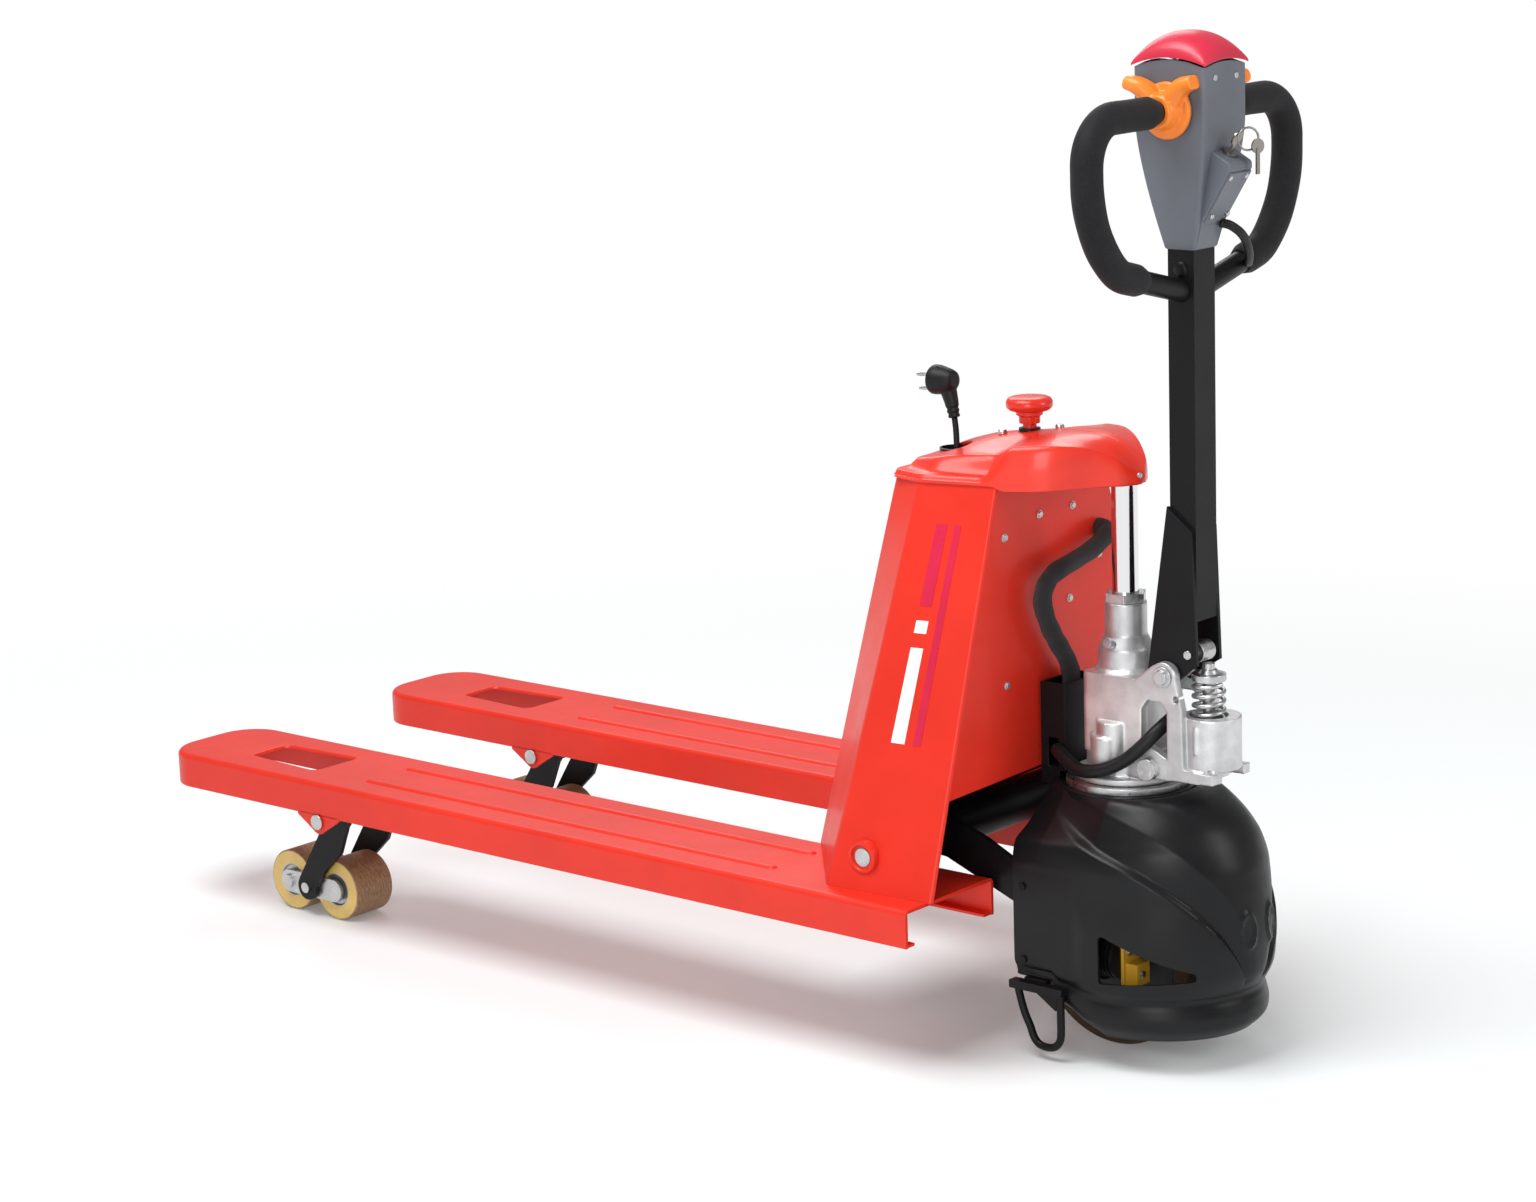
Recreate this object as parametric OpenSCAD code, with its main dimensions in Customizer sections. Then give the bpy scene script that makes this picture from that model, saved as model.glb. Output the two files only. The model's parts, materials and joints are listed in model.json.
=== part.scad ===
// Electric pallet truck with a hand-pumped lift, standing with its forks raised.
// Millimetres, +Z up. X runs along the forks: tips at -X, drive wheel and tiller at +X.
// The origin is on the floor, under the middle of the truck's overall box.

/* [Overall] */
// Length from the fork tips to the front of the drive cover
truck_l = 1555; // [1450:5:1900]
// Width over the outer sides of the two forks
fork_spread = 550; // [520:5:690]
// Height of the fork tops when raised
raised_h = 200; // [195:1:205]
// Lift stroke, from fully raised to fully lowered
lift = 115; // [90:1:115]

/* [Forks] */
// Width of one fork
fork_w = 160; // [150:1:180]
// Height of a fork's section
fork_h = 44; // [42:1:52]
// Plate thickness of the forks
fork_t = 4; // [3:0.5:5]
// From the steering axis back to the end of the fork channels
fork_end = 107; // [104:1:125]
// Corner radius of the fork tips
tip_r = 55; // [35:1:62]
// Length of the roller window in a fork's top
window_l = 130; // [100:1:150]

/* [Battery box] */
// Height of the box's top rim above the raised fork tops
box_h = 453; // [430:1:480]
// Wall thickness of the box
box_t = 4; // [3:0.5:6]
// From the steering axis back to the box's drive-side wall
wall_x = 100; // [98:1:112]
// From the steering axis back to the box's fork-side wall at the rim
back_top_x = 242; // [225:1:260]
// From the steering axis back to the box's fork-side wall at its foot
back_foot_x = 363; // [340:1:380]
// Half width of the box at the rim, drive side
rim_y = 102; // [95:1:115]

/* [Load rollers] */
// Diameter of the load rollers
roller_d = 80; // [74:1:82]
// Width of the load rollers
roller_w = 62; // [50:1:70]
// Distance between the two rollers of a pair
bogie_l = 84; // [83:1:92]

/* [Drive wheel] */
// Diameter of the drive wheel
wheel_d = 210; // [190:1:214]
// Width of the drive wheel
wheel_w = 70; // [55:1:74]

/* [Pump and mast] */
// Diameter of the chromed piston rod
rod_d = 30; // [24:1:34]
// Outer diameter of the pump's lower cylinder
cyl_d = 64; // [60:1:66]
// Coil diameter of the plunger's return spring, over the wire
spring_d = 39; // [34:1:39]

/* [Tiller] */
// Height of the top of the belly button
tiller_h = 1148; // [1100:1:1250]
// Depth of the tiller tube, along X
tube_x = 34; // [30:1:36]
// Width of the tiller tube, along Y
tube_y = 40; // [38:1:40]
// Half width of the handle, to the middle of its tube
handle_y = 190; // [175:1:205]
// Diameter of the foam grips
grip_d = 35; // [30:1:38]

/* [Hidden] */
$fn = 64;
gap = 0.3;                       // clearance between bodies that pass each other
pin_fit = 0.05;                  // radial running clearance of a pin in its bore
eps = 0.01;

nose_reach = 180;                // steering axis to the front of the cover
ax = truck_l / 2 - nose_reach;   // X of the steering axis
tip_x = -truck_l / 2;
fork_y = (fork_spread - fork_w) / 2;
fork_in = fork_spread / 2 - fork_w;  // half the gap between the forks
T = raised_h;
B = T - fork_h;                  // underside of the forks
rim_z = T + box_h;
end_x = ax - fork_end;
wall = ax - wall_x;              // drive-side face of the battery box
foot_y = fork_spread / 2 - 37;   // half width of the box at its foot, drive side
side_y = fork_spread / 2 - 28;   // half width of the box at its foot, where the chamfer starts
cham_foot = 244;                 // steering axis to the chamfer's fold, at the foot
cham_top = 191;                  // and at the rim
cham_y = rim_y + 22;             // half width at that fold, at the rim
wall_z = T + 110;                // lower edge of the drive-side wall

// linkage: crank pivot P on the box, crank pin Q on the carrier, lever pin R, roller arm
// pivot A on the fork, rod pin C and bogie pin D on the roller arm
P = [ax - 197, T + 38];
Q = [ax - 50, T - 14];
crank_turn = 43;                 // turn of the crank over the stroke
lever_r = 50.5;
rod_r = 37;
A = [tip_x + 305, T - 52];
roller_r = roller_d / 2;
D = [A[0] - 70, roller_r];
arm_l = norm(D - A);
R_ang = 270 - crank_turn / 2;
R_pin = P + lever_r * [cos(R_ang), sin(R_ang)];
C_pin = A + rod_r * [cos(120), sin(120)];
arm_y = fork_in - 13;            // inner face of the crank's arms
arm_w = 8;
link_y = roller_w / 2 + 1.5;     // inner face of the bogie links, from the fork's middle
plate_y = link_y + 5 + 1;        // inner face of the roller arm's plates

// pump and tiller, measured from the steering axis
piv = [75, 442];                 // tiller pivot
rol = [101, 468];                // tiller roller pin
plun_x = 111;                    // plunger axis
tube_cx = 92;                    // middle of the tiller tube
head_z0 = tiller_h - 233;
head_z1 = tiller_h - 36;
bar_z = tiller_h - 82;           // height of the handle's top bar
ring_z = T + 96;                 // underside of the carrier's ring plate
rod_z = T + 240;                 // lower end of the piston rod, raised

module rot_x() rotate([90, 0, 0]) children();
// a round bar along Y between y0 and y1, at [x, z]
module ybar(p, r, y0, y1) translate([p[0], y0, p[1]]) rotate([-90, 0, 0]) cylinder(r = r, h = y1 - y0);
// an outline in X and Z, given thickness along Y
module yplate(y0, y1) translate([0, y1, 0]) rotate([90, 0, 0]) linear_extrude(y1 - y0) children();
// a flat bar with round ends between two points, drawn in a plane
module link2d(a, b, r) {
  d = b - a;
  translate(a) circle(r);
  translate(b) circle(r);
  translate(a) rotate(atan2(d[1], d[0])) translate([0, -r]) square([norm(d), 2 * r]);
}
module round_box(size, r) linear_extrude(size[2]) union() {
  for (x = [r, size[0] - r], y = [r, size[1] - r]) translate([x, y]) circle(r);
  translate([r, 0]) square([size[0] - 2 * r, size[1]]);
  translate([0, r]) square([size[0], size[1] - 2 * r]);
}

// ---- forks -------------------------------------------------------------------------
module fork_outline(inset, x1) {
  r = tip_r - inset;
  w = fork_w - 2 * inset;
  x0 = tip_x + inset;
  for (s = [-1, 1]) translate([x0 + r, s * (w / 2 - r)]) circle(r);
  translate([x0, -w / 2 + r]) square([r, w - 2 * r]);
  translate([x0 + r, -w / 2]) square([x1 - x0 - r, w]);
}
module fork(s) translate([0, s * fork_y, 0]) {
  win0 = tip_x + 127;
  difference() {
    translate([0, 0, B]) linear_extrude(fork_h) fork_outline(0, end_x);
    translate([0, 0, B - 1]) linear_extrude(fork_h - fork_t + 1) fork_outline(fork_t, end_x + 1);
    translate([0, 0, T - 20]) linear_extrude(40)
      polygon([[win0, -28], [win0 + 8, -32], [win0 + window_l - 8, -38], [win0 + window_l, -34],
               [win0 + window_l, 34], [win0 + window_l - 8, 38], [win0 + 8, 32], [win0, 28]]);
    // slot for the crank's lever, under the battery box
    translate([P[0] - 60, -20, T - 20]) cube([110, 40, 40]);
    ybar(A, 8 + pin_fit, -fork_w, fork_w);
  }
  // tabs that carry the roller arm's pin
  for (y = [-fork_w / 2, fork_w / 2 - fork_t]) yplate(y, y + fork_t) difference() {
    union() {
      translate(A) circle(16);
      polygon([[A[0] - 46, B + 1], [A[0] - 11, A[1] - 11], [A[0] + 11, A[1] - 11], [A[0] + 46, B + 1]]);
    }
    translate(A) circle(8 + pin_fit);
  }
  // pressed ribs along the top
  for (y = [-35, 35]) translate([tip_x + 360, y, T]) linear_extrude(3) link2d([0, 0], [675, 0], 7);
}
module fork_left() color("red") fork(-1);
module fork_right() color("red") fork(1);

// ---- battery box -------------------------------------------------------------------
// half outlines of the box at its foot and rim, inset by the wall
function foot_pts(i) = [[ax - back_foot_x + i, fork_in - i / 2], [ax - cham_foot + i / 2, side_y - i],
  [wall - i, foot_y - i]];
function rim_pts(i) = [[ax - back_top_x + i, rim_y + 3 - i], [ax - cham_top + i / 2, cham_y - i],
  [wall - i, rim_y - i]];
function both(p) = concat(p, [for (k = [len(p) - 1:-1:0]) [p[k][0], -p[k][1]]]);
module box_solid(i, z0, z1) hull() {
  translate([0, 0, z0]) linear_extrude(eps) polygon(both(foot_pts(i)));
  translate([0, 0, z1 - eps]) linear_extrude(eps) polygon(both(rim_pts(i)));
}
module battery_box() color("red") difference() {
  union() {
    difference() {
      box_solid(0, T, rim_z);
      box_solid(box_t, T - 1, rim_z + 1);
      // opening below the drive-side wall
      translate([wall - 60, -foot_y, T - 1]) cube([70, 2 * foot_y, wall_z - T + 1]);
    }
    // side walls run on to the drive side under the wall, each on its own slant
    for (s = [-1, 1]) intersection() {
      difference() {
        box_solid(0, T, rim_z);
        box_solid(box_t, T - 1, rim_z + 1);
      }
      translate([wall - 60, s > 0 ? 150 : -150 - 200, T]) cube([58, 200, wall_z - T + 1]);
    }
    for (s = [-1, 1]) ybar(P, 19, s > 0 ? boss_y - 12 : -boss_y, s > 0 ? boss_y : -boss_y + 12);
  }
  for (s = [-1, 1]) ybar(P, 11 + pin_fit, s > 0 ? 190 : -300, s > 0 ? 300 : -190);
}
boss_y = foot_y + 2;              // outer face of the boss round the crank's pin
// floor plate under the batteries, cross member and gussets
module box_frame() color("dimgray") {
  translate([ax - 322, -110, wall_z + 2]) cube([322 - wall_x - box_t, 220, 5]);
  translate([ax - 345, -fork_in, T - 35]) cube([8, 2 * fork_in, 30]);
  translate([ax - 345, -fork_in, T - 5]) cube([34, 2 * fork_in, 5]);
}

// moulded cover on the rim, with its hood over the piston rod
module cover_plan(i) {
  polygon(both([[ax - back_top_x - 2 + i, rim_y + 5 - i], [ax - cham_top, cham_y + 2 - i],
    [wall, rim_y + 2 - i],
    [ax - 15, 26 - i]]));
  translate([ax, 0]) circle(26 - i);
}
module cover_solid(i) hull() {
  translate([0, 0, rim_z]) linear_extrude(7) cover_plan(i);
  translate([0, 0, rim_z + 24]) linear_extrude(2) intersection() {
    cover_plan(i + 4);
    translate([ax - 205, -200]) square([250, 400]);
  }
  translate([ax - 115, 0, rim_z + 42 - i]) cylinder(r = 62, h = 4, $fn = 32);
  translate([ax - 20, 0, rim_z + 30 - i]) cylinder(r = 22 - i / 2, h = 4, $fn = 32);
}
module hood_skirt(i) hull() {
  translate([ax, 0, rim_z - 8]) cylinder(r = 26 - i, h = 12, $fn = 32);
  translate([wall + 0.2, -rim_y - 2 + i, rim_z - 8]) cube([8, 2 * (rim_y + 2 - i), 12]);
}
module top_cover() color("red") difference() {
  union() {
    difference() {
      union() {
        cover_solid(0);
        hood_skirt(0);
      }
      translate([0, 0, -0.5]) cover_solid(3.5);
      translate([0, 0, -4]) hood_skirt(3.5);
    }
    // cup that the charger lead is kept in
    intersection() {
      union() {
        cover_solid(0);
        translate([well[0], well[1], rim_z - 6]) cylinder(r = 20, h = 8);
      }
      translate([well[0], well[1], rim_z - 6]) cylinder(r = 20, h = 60);
    }
  }
  translate([well[0], well[1], rim_z - 3]) cylinder(r = 17, h = 60);
  translate([well[0], well[1], rim_z - 10]) cylinder(r = 8, h = 20);
  translate([estop_x, 0, rim_z]) cylinder(r = 13, h = 80);
}
well = [ax - 200, -45];          // the charger lead's well in the cover
// steel head that joins the box wall to the piston rod
module crosshead() color("dimgray") difference() {
  union() {
    translate([wall, -40, rim_z - 14]) cube([60, 80, 14]);
    translate([wall + 40, -20, rim_z - 14]) cube([wall_x - 40, 40, 14]);
    translate([ax, 0, rim_z - 14]) cylinder(r = 20, h = 14);
  }
  translate([ax, 0, rim_z - 30]) cylinder(d = rod_d - 8, h = 60);
}
module piston_rod() color("silver") {
  translate([ax, 0, rod_z]) cylinder(d = rod_d, h = rim_z - 14 - rod_z);
  translate([ax, 0, rim_z - 14]) cylinder(d = rod_d - 8, h = 18);
}

// ---- what the box holds ------------------------------------------------------------
module battery_pack() color("darkslategray") {
  translate([ax - 268, -92, wall_z + 7]) round_box([150, 184, 190], 8);
  for (y = [-60, 40]) translate([ax - 150, y, wall_z + 197]) cylinder(r = 9, h = 10);
  translate([ax - 230, -50, wall_z + 197]) cube([30, 100, 8]);
}
module charger_unit() color("silver") translate([ax - 222, -58, wall_z + 210]) {
  cube([70, 116, 48]);
  for (k = [0:8]) translate([4 + 7 * k, 0, 48]) cube([3, 116, 10]);
}
module motor_controller() color("black") translate([ax - 128, -70, wall_z + 220]) {
  cube([18, 140, 90]);
  for (k = [0:4]) translate([-8, 12 + 26 * k, 12]) rotate([0, 90, 0]) cylinder(r = 5, h = 8);
}

// ---- pins and screws on the chassis ------------------------------------------------
module crank_pins() color("silver") for (s = [-1, 1])
  ybar(P, 11, s > 0 ? side_in : -boss_y + 1.5, s > 0 ? boss_y - 1.5 : -side_in);
side_in = foot_y - 70;
module arm_pins() color("silver") for (s = [-1, 1]) translate([0, s * fork_y, 0]) {
  ybar(A, 8, -fork_w / 2 - 4, fork_w / 2 + 4);
  for (y = [-fork_w / 2 - 4, fork_w / 2 + 1]) ybar(A, 10, y, y + 3);
}
bolt_yz = [[-91, 590], [-25, 606], [38, 606], [88, 541], [30, 499], [-91, 420], [91, 420]];
module box_screws() color("silver") for (p = bolt_yz)
  translate([wall, p[0], p[1] - 653 + rim_z]) rotate([0, 90, 0]) {
    cylinder(r = 3.5, h = 3);
    cylinder(r = 5, h = 1);
  }
estop_x = ax - 130;
module estop_base() color("black") translate([estop_x, 0, rim_z]) difference() {
  union() {
    translate([0, 0, 20]) cylinder(r = 12.5, h = 26);
    cylinder(r = 15, h = 22);
  }
  translate([0, 0, 10]) cylinder(r = 8 + pin_fit, h = 60);
}
module estop_button() color("red") translate([estop_x, 0, rim_z + 46]) {
  translate([0, 0, -24]) cylinder(r = 8, h = 30);
  translate([0, 0, 5]) cylinder(r = 15, h = 16);
  translate([0, 0, 20]) rotate_extrude() {
    translate([19, 6]) circle(8);
    translate([0, -2]) square([19, 16]);
  }
}
module cable_gland() color("black") translate([well[0], well[1], rim_z - 3]) difference() {
  union() {
    cylinder(r = 14, h = 4);
    translate([0, 0, 4]) cylinder(r = 7, h = 8);
  }
  translate([0, 0, -1]) cylinder(r = lead_r + 1, h = 20);
}

// ---- charger lead ------------------------------------------------------------------
lead_r = 3.5;
lead_pts = [[0, 0, -34], [0, 0, -24], [0, 0, -12], [0, 0, 0], [-1, 1, 14], [-3, 3, 28], [-6, 6, 42],
  [-9, 8, 56]];
function unit(v) = v / norm(v);
function ring(c, d, r, n, ref) = let (u = unit(cross(d, ref)), w = cross(d, u))
  [for (k = [0:n - 1]) c + r * (cos(360 * k / n) * u + sin(360 * k / n) * w)];
// the rings of points round a route; ref is a direction that the route never takes
function rings(pts, r, n, ref) = let (m = len(pts)) [for (k = [0:m - 1])
  each ring(pts[k], unit(pts[min(k + 1, m - 1)] - pts[max(k - 1, 0)]), r, n, ref)];
function sides(m, n, o, flip) = [for (k = [0:m - 2], j = [0:n - 1])
  let (a = o + k * n + j, b = o + k * n + (j + 1) % n)
  each flip ? [[a, b + n, b], [a, a + n, b + n]] : [[a, b, b + n], [a, b + n, a + n]]];
module sweep(pts, r, n, ref = [1, 1, 1]) {
  m = len(pts);
  polyhedron(rings(pts, r, n, ref), concat([[for (j = [n - 1:-1:0]) j]], sides(m, n, 0, false),
    [[for (j = [0:n - 1]) (m - 1) * n + j]]));
}
// the same, hollow: outer radius r, inner radius q
module sleeve(pts, r, q, n, ref = [1, 1, 1]) {
  m = len(pts);
  e = (m - 1) * n;
  o = m * n;
  polyhedron(concat(rings(pts, r, n, ref), rings(pts, q, n, ref)), concat(
    sides(m, n, 0, false), sides(m, n, o, true),
    [for (j = [0:n - 1]) let (b = (j + 1) % n) each [[j, o + j, o + b], [j, o + b, b]]],
    [for (j = [0:n - 1]) let (b = (j + 1) % n)
      each [[e + j, e + b, o + e + b], [e + j, o + e + b, o + e + j]]]));
}
module charger_cord() color("black") translate([well[0], well[1], rim_z]) sweep(lead_pts, lead_r, 8);
coil_r = 42;
module charger_coil() color("black") translate([well[0] + 5, well[1] + coil_r, rim_z - 55])
  rotate_extrude() translate([coil_r - 7, 0]) square([14, 21]);
// two-pin right-angle plug, standing on the end of the lead
module charger_plug() color("black") translate(well_plug) rotate([0, -12, 0]) {
  cylinder(r1 = 5, r2 = 8, h = 34);
  translate([-4, 0, 44]) rotate([0, -78, 0]) translate([0, 0, -14]) cylinder(r = 17, h = 30);
  for (z = [36, 52]) translate([-14, 0, z]) rotate([0, -84, 0]) cylinder(r = 2.4, h = 25);
}
well_plug = [well[0] - 9, well[1] + 8, rim_z + 56];

// ---- lift linkage ------------------------------------------------------------------
arm_dir = (Q - P) / norm(Q - P);
module bell_crank() color("black") difference() {
  union() {
    ybar(P, 26, -side_in + 4, side_in - 4);
    for (s = [-1, 1]) {
      y = s > 0 ? arm_y : -arm_y - arm_w;
      yplate(y, y + arm_w) polygon([
        [P[0] - 20, P[1] - 24], [P[0] + 20, P[1] - 27], [Q[0] - 20, Q[1] - 16], [Q[0] + 8, Q[1] - 18],
        [Q[0] + 19, Q[1] - 12], [Q[0] + 21, Q[1] + 4], [Q[0] + 12, Q[1] + 16], [P[0] + 75, P[1] + 4],
        [P[0] + 20, P[1] + 22]]);
      for (k = [-1, 1]) {
        yl = s * fork_y + (k > 0 ? 8 : -14);
        yplate(yl, yl + 6) link2d(P, R_pin, 13);
      }
      ybar(P, 20, s > 0 ? side_in - 10 : -fork_y - 14, s > 0 ? fork_y + 14 : -side_in + 10);
    }
    for (s = [-1, 1]) ybar(R_pin, 5, s * fork_y - 14, s * fork_y + 14);
  }
  ybar(P, 11 + pin_fit, -300, 300);
  // slots that the carrier's pins slide in
  for (s = [-1, 1]) yplate(s > 0 ? arm_y - 1 : -arm_y - arm_w - 1, s > 0 ? arm_y + arm_w + 1 : -arm_y + 1)
    link2d(P + (Q[0] - P[0] - 0.5) * arm_dir,
      P + (max(norm(Q - P), norm(Q + [0, lift] - P)) + 0.5) * arm_dir, 9.3);
}
module push_rod(s) color("black") translate([0, s * fork_y, 0]) {
  z = (C_pin[1] + R_pin[1]) / 2;
  // upright slots take up the rise and fall of the two pins on their arcs
  slots = [[C_pin, C_pin + [0, rod_r * (1 - sin(120))]], [R_pin, R_pin - [0, lever_r * (1 + sin(R_ang))]]];
  difference() {
    union() {
      translate([C_pin[0] + 6, 0, z]) rotate([0, 90, 0]) cylinder(r = 6, h = R_pin[0] - C_pin[0] - 12);
      for (p = slots) yplate(-7, 7) link2d(p[0], p[1], 9.5);
    }
    for (p = slots) yplate(-10, 10) link2d(p[0], p[1], 5 + 2 * gap);
  }
}
module push_rod_left() push_rod(-1);
module push_rod_right() push_rod(1);
module roller_arm(s) color("black") translate([0, s * fork_y, 0]) difference() {
  union() {
    for (k = [-1, 1]) {
      y = k > 0 ? plate_y : -plate_y - 6;
      yplate(y, y + 6) {
        link2d(A, D, 14);
        translate(A) circle(20);
        polygon([A + [-20, 0], A + [20, 0], A + [-2, -52], D + [14, 6], D + [-14, 10]]);
        translate(D) circle(17);
      }
    }
    ybar(A, 15, -plate_y, plate_y);
    for (k = [-1, 1]) yplate(k > 0 ? 8 : -14, k > 0 ? 14 : -8) link2d(A, C_pin, 10);
    ybar(C_pin, 5, -14, 14);
  }
  ybar(A, 8 + pin_fit, -100, 100);
  ybar(D, 7 + pin_fit, -100, 100);
}
module roller_arm_left() roller_arm(-1);
module roller_arm_right() roller_arm(1);
axle_f = D + [-bogie_l / 2, 0];
axle_r = D + [bogie_l / 2, 0];
module bogie(s) translate([0, s * fork_y, 0]) {
  color("black") for (k = [-1, 1]) difference() {
    yplate(k > 0 ? link_y : -link_y - 5, k > 0 ? link_y + 5 : -link_y) link2d(axle_f, axle_r, 15);
    for (p = [axle_f, axle_r]) ybar(p, 6, -60, 60);
  }
  color("silver") {
    ybar(axle_f, 6, -link_y - 9, link_y + 9);
    for (k = [-1, 1]) ybar(axle_f, 9, k > 0 ? link_y + 5 : -link_y - 9, k > 0 ? link_y + 9 : -link_y - 5);
    ybar(axle_r, 6, -link_y - 5.4, link_y + 5.4);
    for (k = [-1, 1]) ybar(D, 7, k > 0 ? link_y : -plate_y - 10, k > 0 ? plate_y + 10 : -link_y);
  }
}
module bogie_left() bogie(-1);
module bogie_right() bogie(1);
module load_roller(p, s) color("tan") translate([0, s * fork_y, 0]) difference() {
  ybar(p, roller_r, -roller_w / 2, roller_w / 2);
  for (k = [-1, 1])
    ybar(p, 20, k > 0 ? roller_w / 2 - 3 : -roller_w / 2 - 1, k > 0 ? roller_w / 2 + 1 : -roller_w / 2 + 3);
  ybar(p, 6 + pin_fit, -50, 50);
}
module roller_left_front() load_roller(axle_f, -1);
module roller_left_rear() load_roller(axle_r, -1);
module roller_right_front() load_roller(axle_f, 1);
module roller_right_rear() load_roller(axle_r, 1);

// ---- carrier that the pump turns in, with the drive cover --------------------------
leg_y = arm_y + arm_w + 2;
module carrier() color("black") difference() {
  union() {
    translate([ax, 0, ring_z]) cylinder(r = 78, h = 8);
    translate([ax - 96, -34, ring_z]) cube([44, 68, 8]);
    for (s = [-1, 1]) {
      // web under the cover's shoulder, then the leg beside the crank's arm
      yplate(s > 0 ? 54 : -60, s > 0 ? 60 : -54) polygon([[ax - 36, ring_z + 8], [ax - 50, ring_z + 8],
        [ax - 72, ring_z - 36], [ax - 72, ring_z - 46], [ax - 36, ring_z - 46]]);
      translate([ax - 72, 0, 0]) rotate([90, 0, 90]) linear_extrude(36) polygon([[s * 54, ring_z - 34],
        [s * 60, ring_z - 34], [s * (leg_y + 4), ring_z - 60], [s * (leg_y + 4), 200], [s * leg_y, 200],
        [s * leg_y, ring_z - 66], [s * 54, ring_z - 46]]);
      y = s > 0 ? leg_y : -leg_y - 4;
      yplate(y, y + 4) polygon([[ax - 72, 220], [ax - 72, 95], [ax - 36, 95], [ax - 31, Q[1] - 20],
        [ax - 31, Q[1] + 20], [ax - 36, 220]]);
      ybar(Q, 8, s > 0 ? arm_y - 1 : -leg_y - 1, s > 0 ? leg_y + 1 : -arm_y + 1);
    }
  }
  translate([ax, 0, ring_z - 10]) cylinder(r = 32, h = 40);
}
module cable_bracket() color("black") difference() {
  union() {
    translate([ax - 96, -34, ring_z + 16.3]) cube([34, 68, 102]);
    translate([ax - 96, -34, ring_z + 8]) cube([25, 68, 10]);
  }
  translate([ax - 93, -31, ring_z + 20]) cube([28, 62, 120]);
  translate([ax - 86, -40, ring_z + 20]) cube([14, 20, 34]);
}
cov_y = leg_y + 8;               // outer face of the cover's side panels
cov_t = 3.5;
// the cover's sections: height, reach to the front, half width, and half width 40 and 75 mm
// behind the steering axis
cover_at = [[38, 150, cov_y - 10, cov_y - 10, cov_y - 10], [60, 168, cov_y + 1, cov_y + 1, cov_y + 1],
  [84, 162, cov_y, cov_y, cov_y], [110, 176, cov_y, cov_y, cov_y], [150, nose_reach, cov_y, cov_y, cov_y],
  [200, 173, cov_y, cov_y, cov_y], [243, 164, cov_y, cov_y, cov_y], [268, 152, 106, 92, 62],
  [303, 118, 84, 74, 38]];
module cover_ring(k, i) {
  c = cover_at[k];
  b = c[2] - i;
  x0 = -75 - (i > 0 ? 5 : 0);
  translate([ax, 0, c[0]]) linear_extrude(0.2) polygon(concat(
    [for (t = [-90:10:90]) [30 + (c[1] - i - 30) * cos(t), b * sin(t)]],
    [[-40, c[3] - i], [x0, c[4] - i], [x0, i - c[4]], [-40, i - c[3]]]));
}
module cover_shell(i) {
  hull() for (k = [0:2]) cover_ring(k, i);
  hull() for (k = [2:6]) cover_ring(k, i);
  hull() for (k = [6:8]) cover_ring(k, i);
}
module drive_cover() color("black") difference() {
  cover_shell(0);
  intersection() {
    translate([0, 0, -1]) cover_shell(cov_t);
    translate([ax - 90, -200, 0]) cube([400, 400, 303 - cov_t]);
  }
  translate([ax, 0, 285]) cylinder(r = 80, h = 60);
  translate([ax - 120, -34.3, 270]) cube([90, 68.6, 60]);
  // the side panels end above the skid hoops
  translate([ax - 80, -200, 0]) cube([60, 400, 88]);
  translate([ax - 30, -200, 0]) cube([30, 400, 62]);
  for (s = [-1, 1]) yplate(s > 0 ? 60 : -200, s > 0 ? 200 : -60)
    polygon([[ax + 46, 108], [ax + 46, 160], [ax + 140, 122], [ax + 140, 116]]);
}
hoop_y = cov_y + 7;
module hoop(s) translate([0, s * hoop_y, 0]) {
  r = 4.5;
  z0 = 88;
  c = [ax - 28, 36];
  translate([ax - 76, -5, z0 - 6]) cube([72, 10, 8]);
  yplate(-5, 5) polygon([[ax - 74, 84], [ax - 4, 84], [ax - 4, 90], [ax - 74, 90]]);
  hull() {
    translate([ax - 68, 0, z0 - 4]) sphere(r, $fn = 24);
    translate([c[0] - 20, 0, c[1]]) sphere(r, $fn = 24);
  }
  translate([ax - 8, 0, c[1]]) cylinder(r = r, h = z0 - 4 - c[1]);
  intersection() {
    translate([c[0], 0, c[1]]) rot_x() rotate_extrude() translate([20, 0]) circle(r);
    translate([c[0] - 40, -10, c[1] - 40]) cube([80, 20, 40]);
  }
  translate([ax - 60, s > 0 ? -12 : 4, 84]) cube([30, 8, 8]);
}
module skid_hoops() color("black") for (s = [-1, 1]) hoop(s);
module cover_screws() color("dimgray") for (s = [-1, 1], z = [T - 2, 112])
  translate([ax - 62, 0, 0]) ybar([0, z], 4.5, s > 0 ? cov_y : -cov_y - 2.5, s > 0 ? cov_y + 2.5 : -cov_y);
module thrust_bearing() color("silver") difference() {
  translate([ax, 0, ring_z + 8]) cylinder(r = 70, h = 8);
  translate([ax, 0, ring_z]) cylinder(r = 50, h = 30);
}

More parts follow.
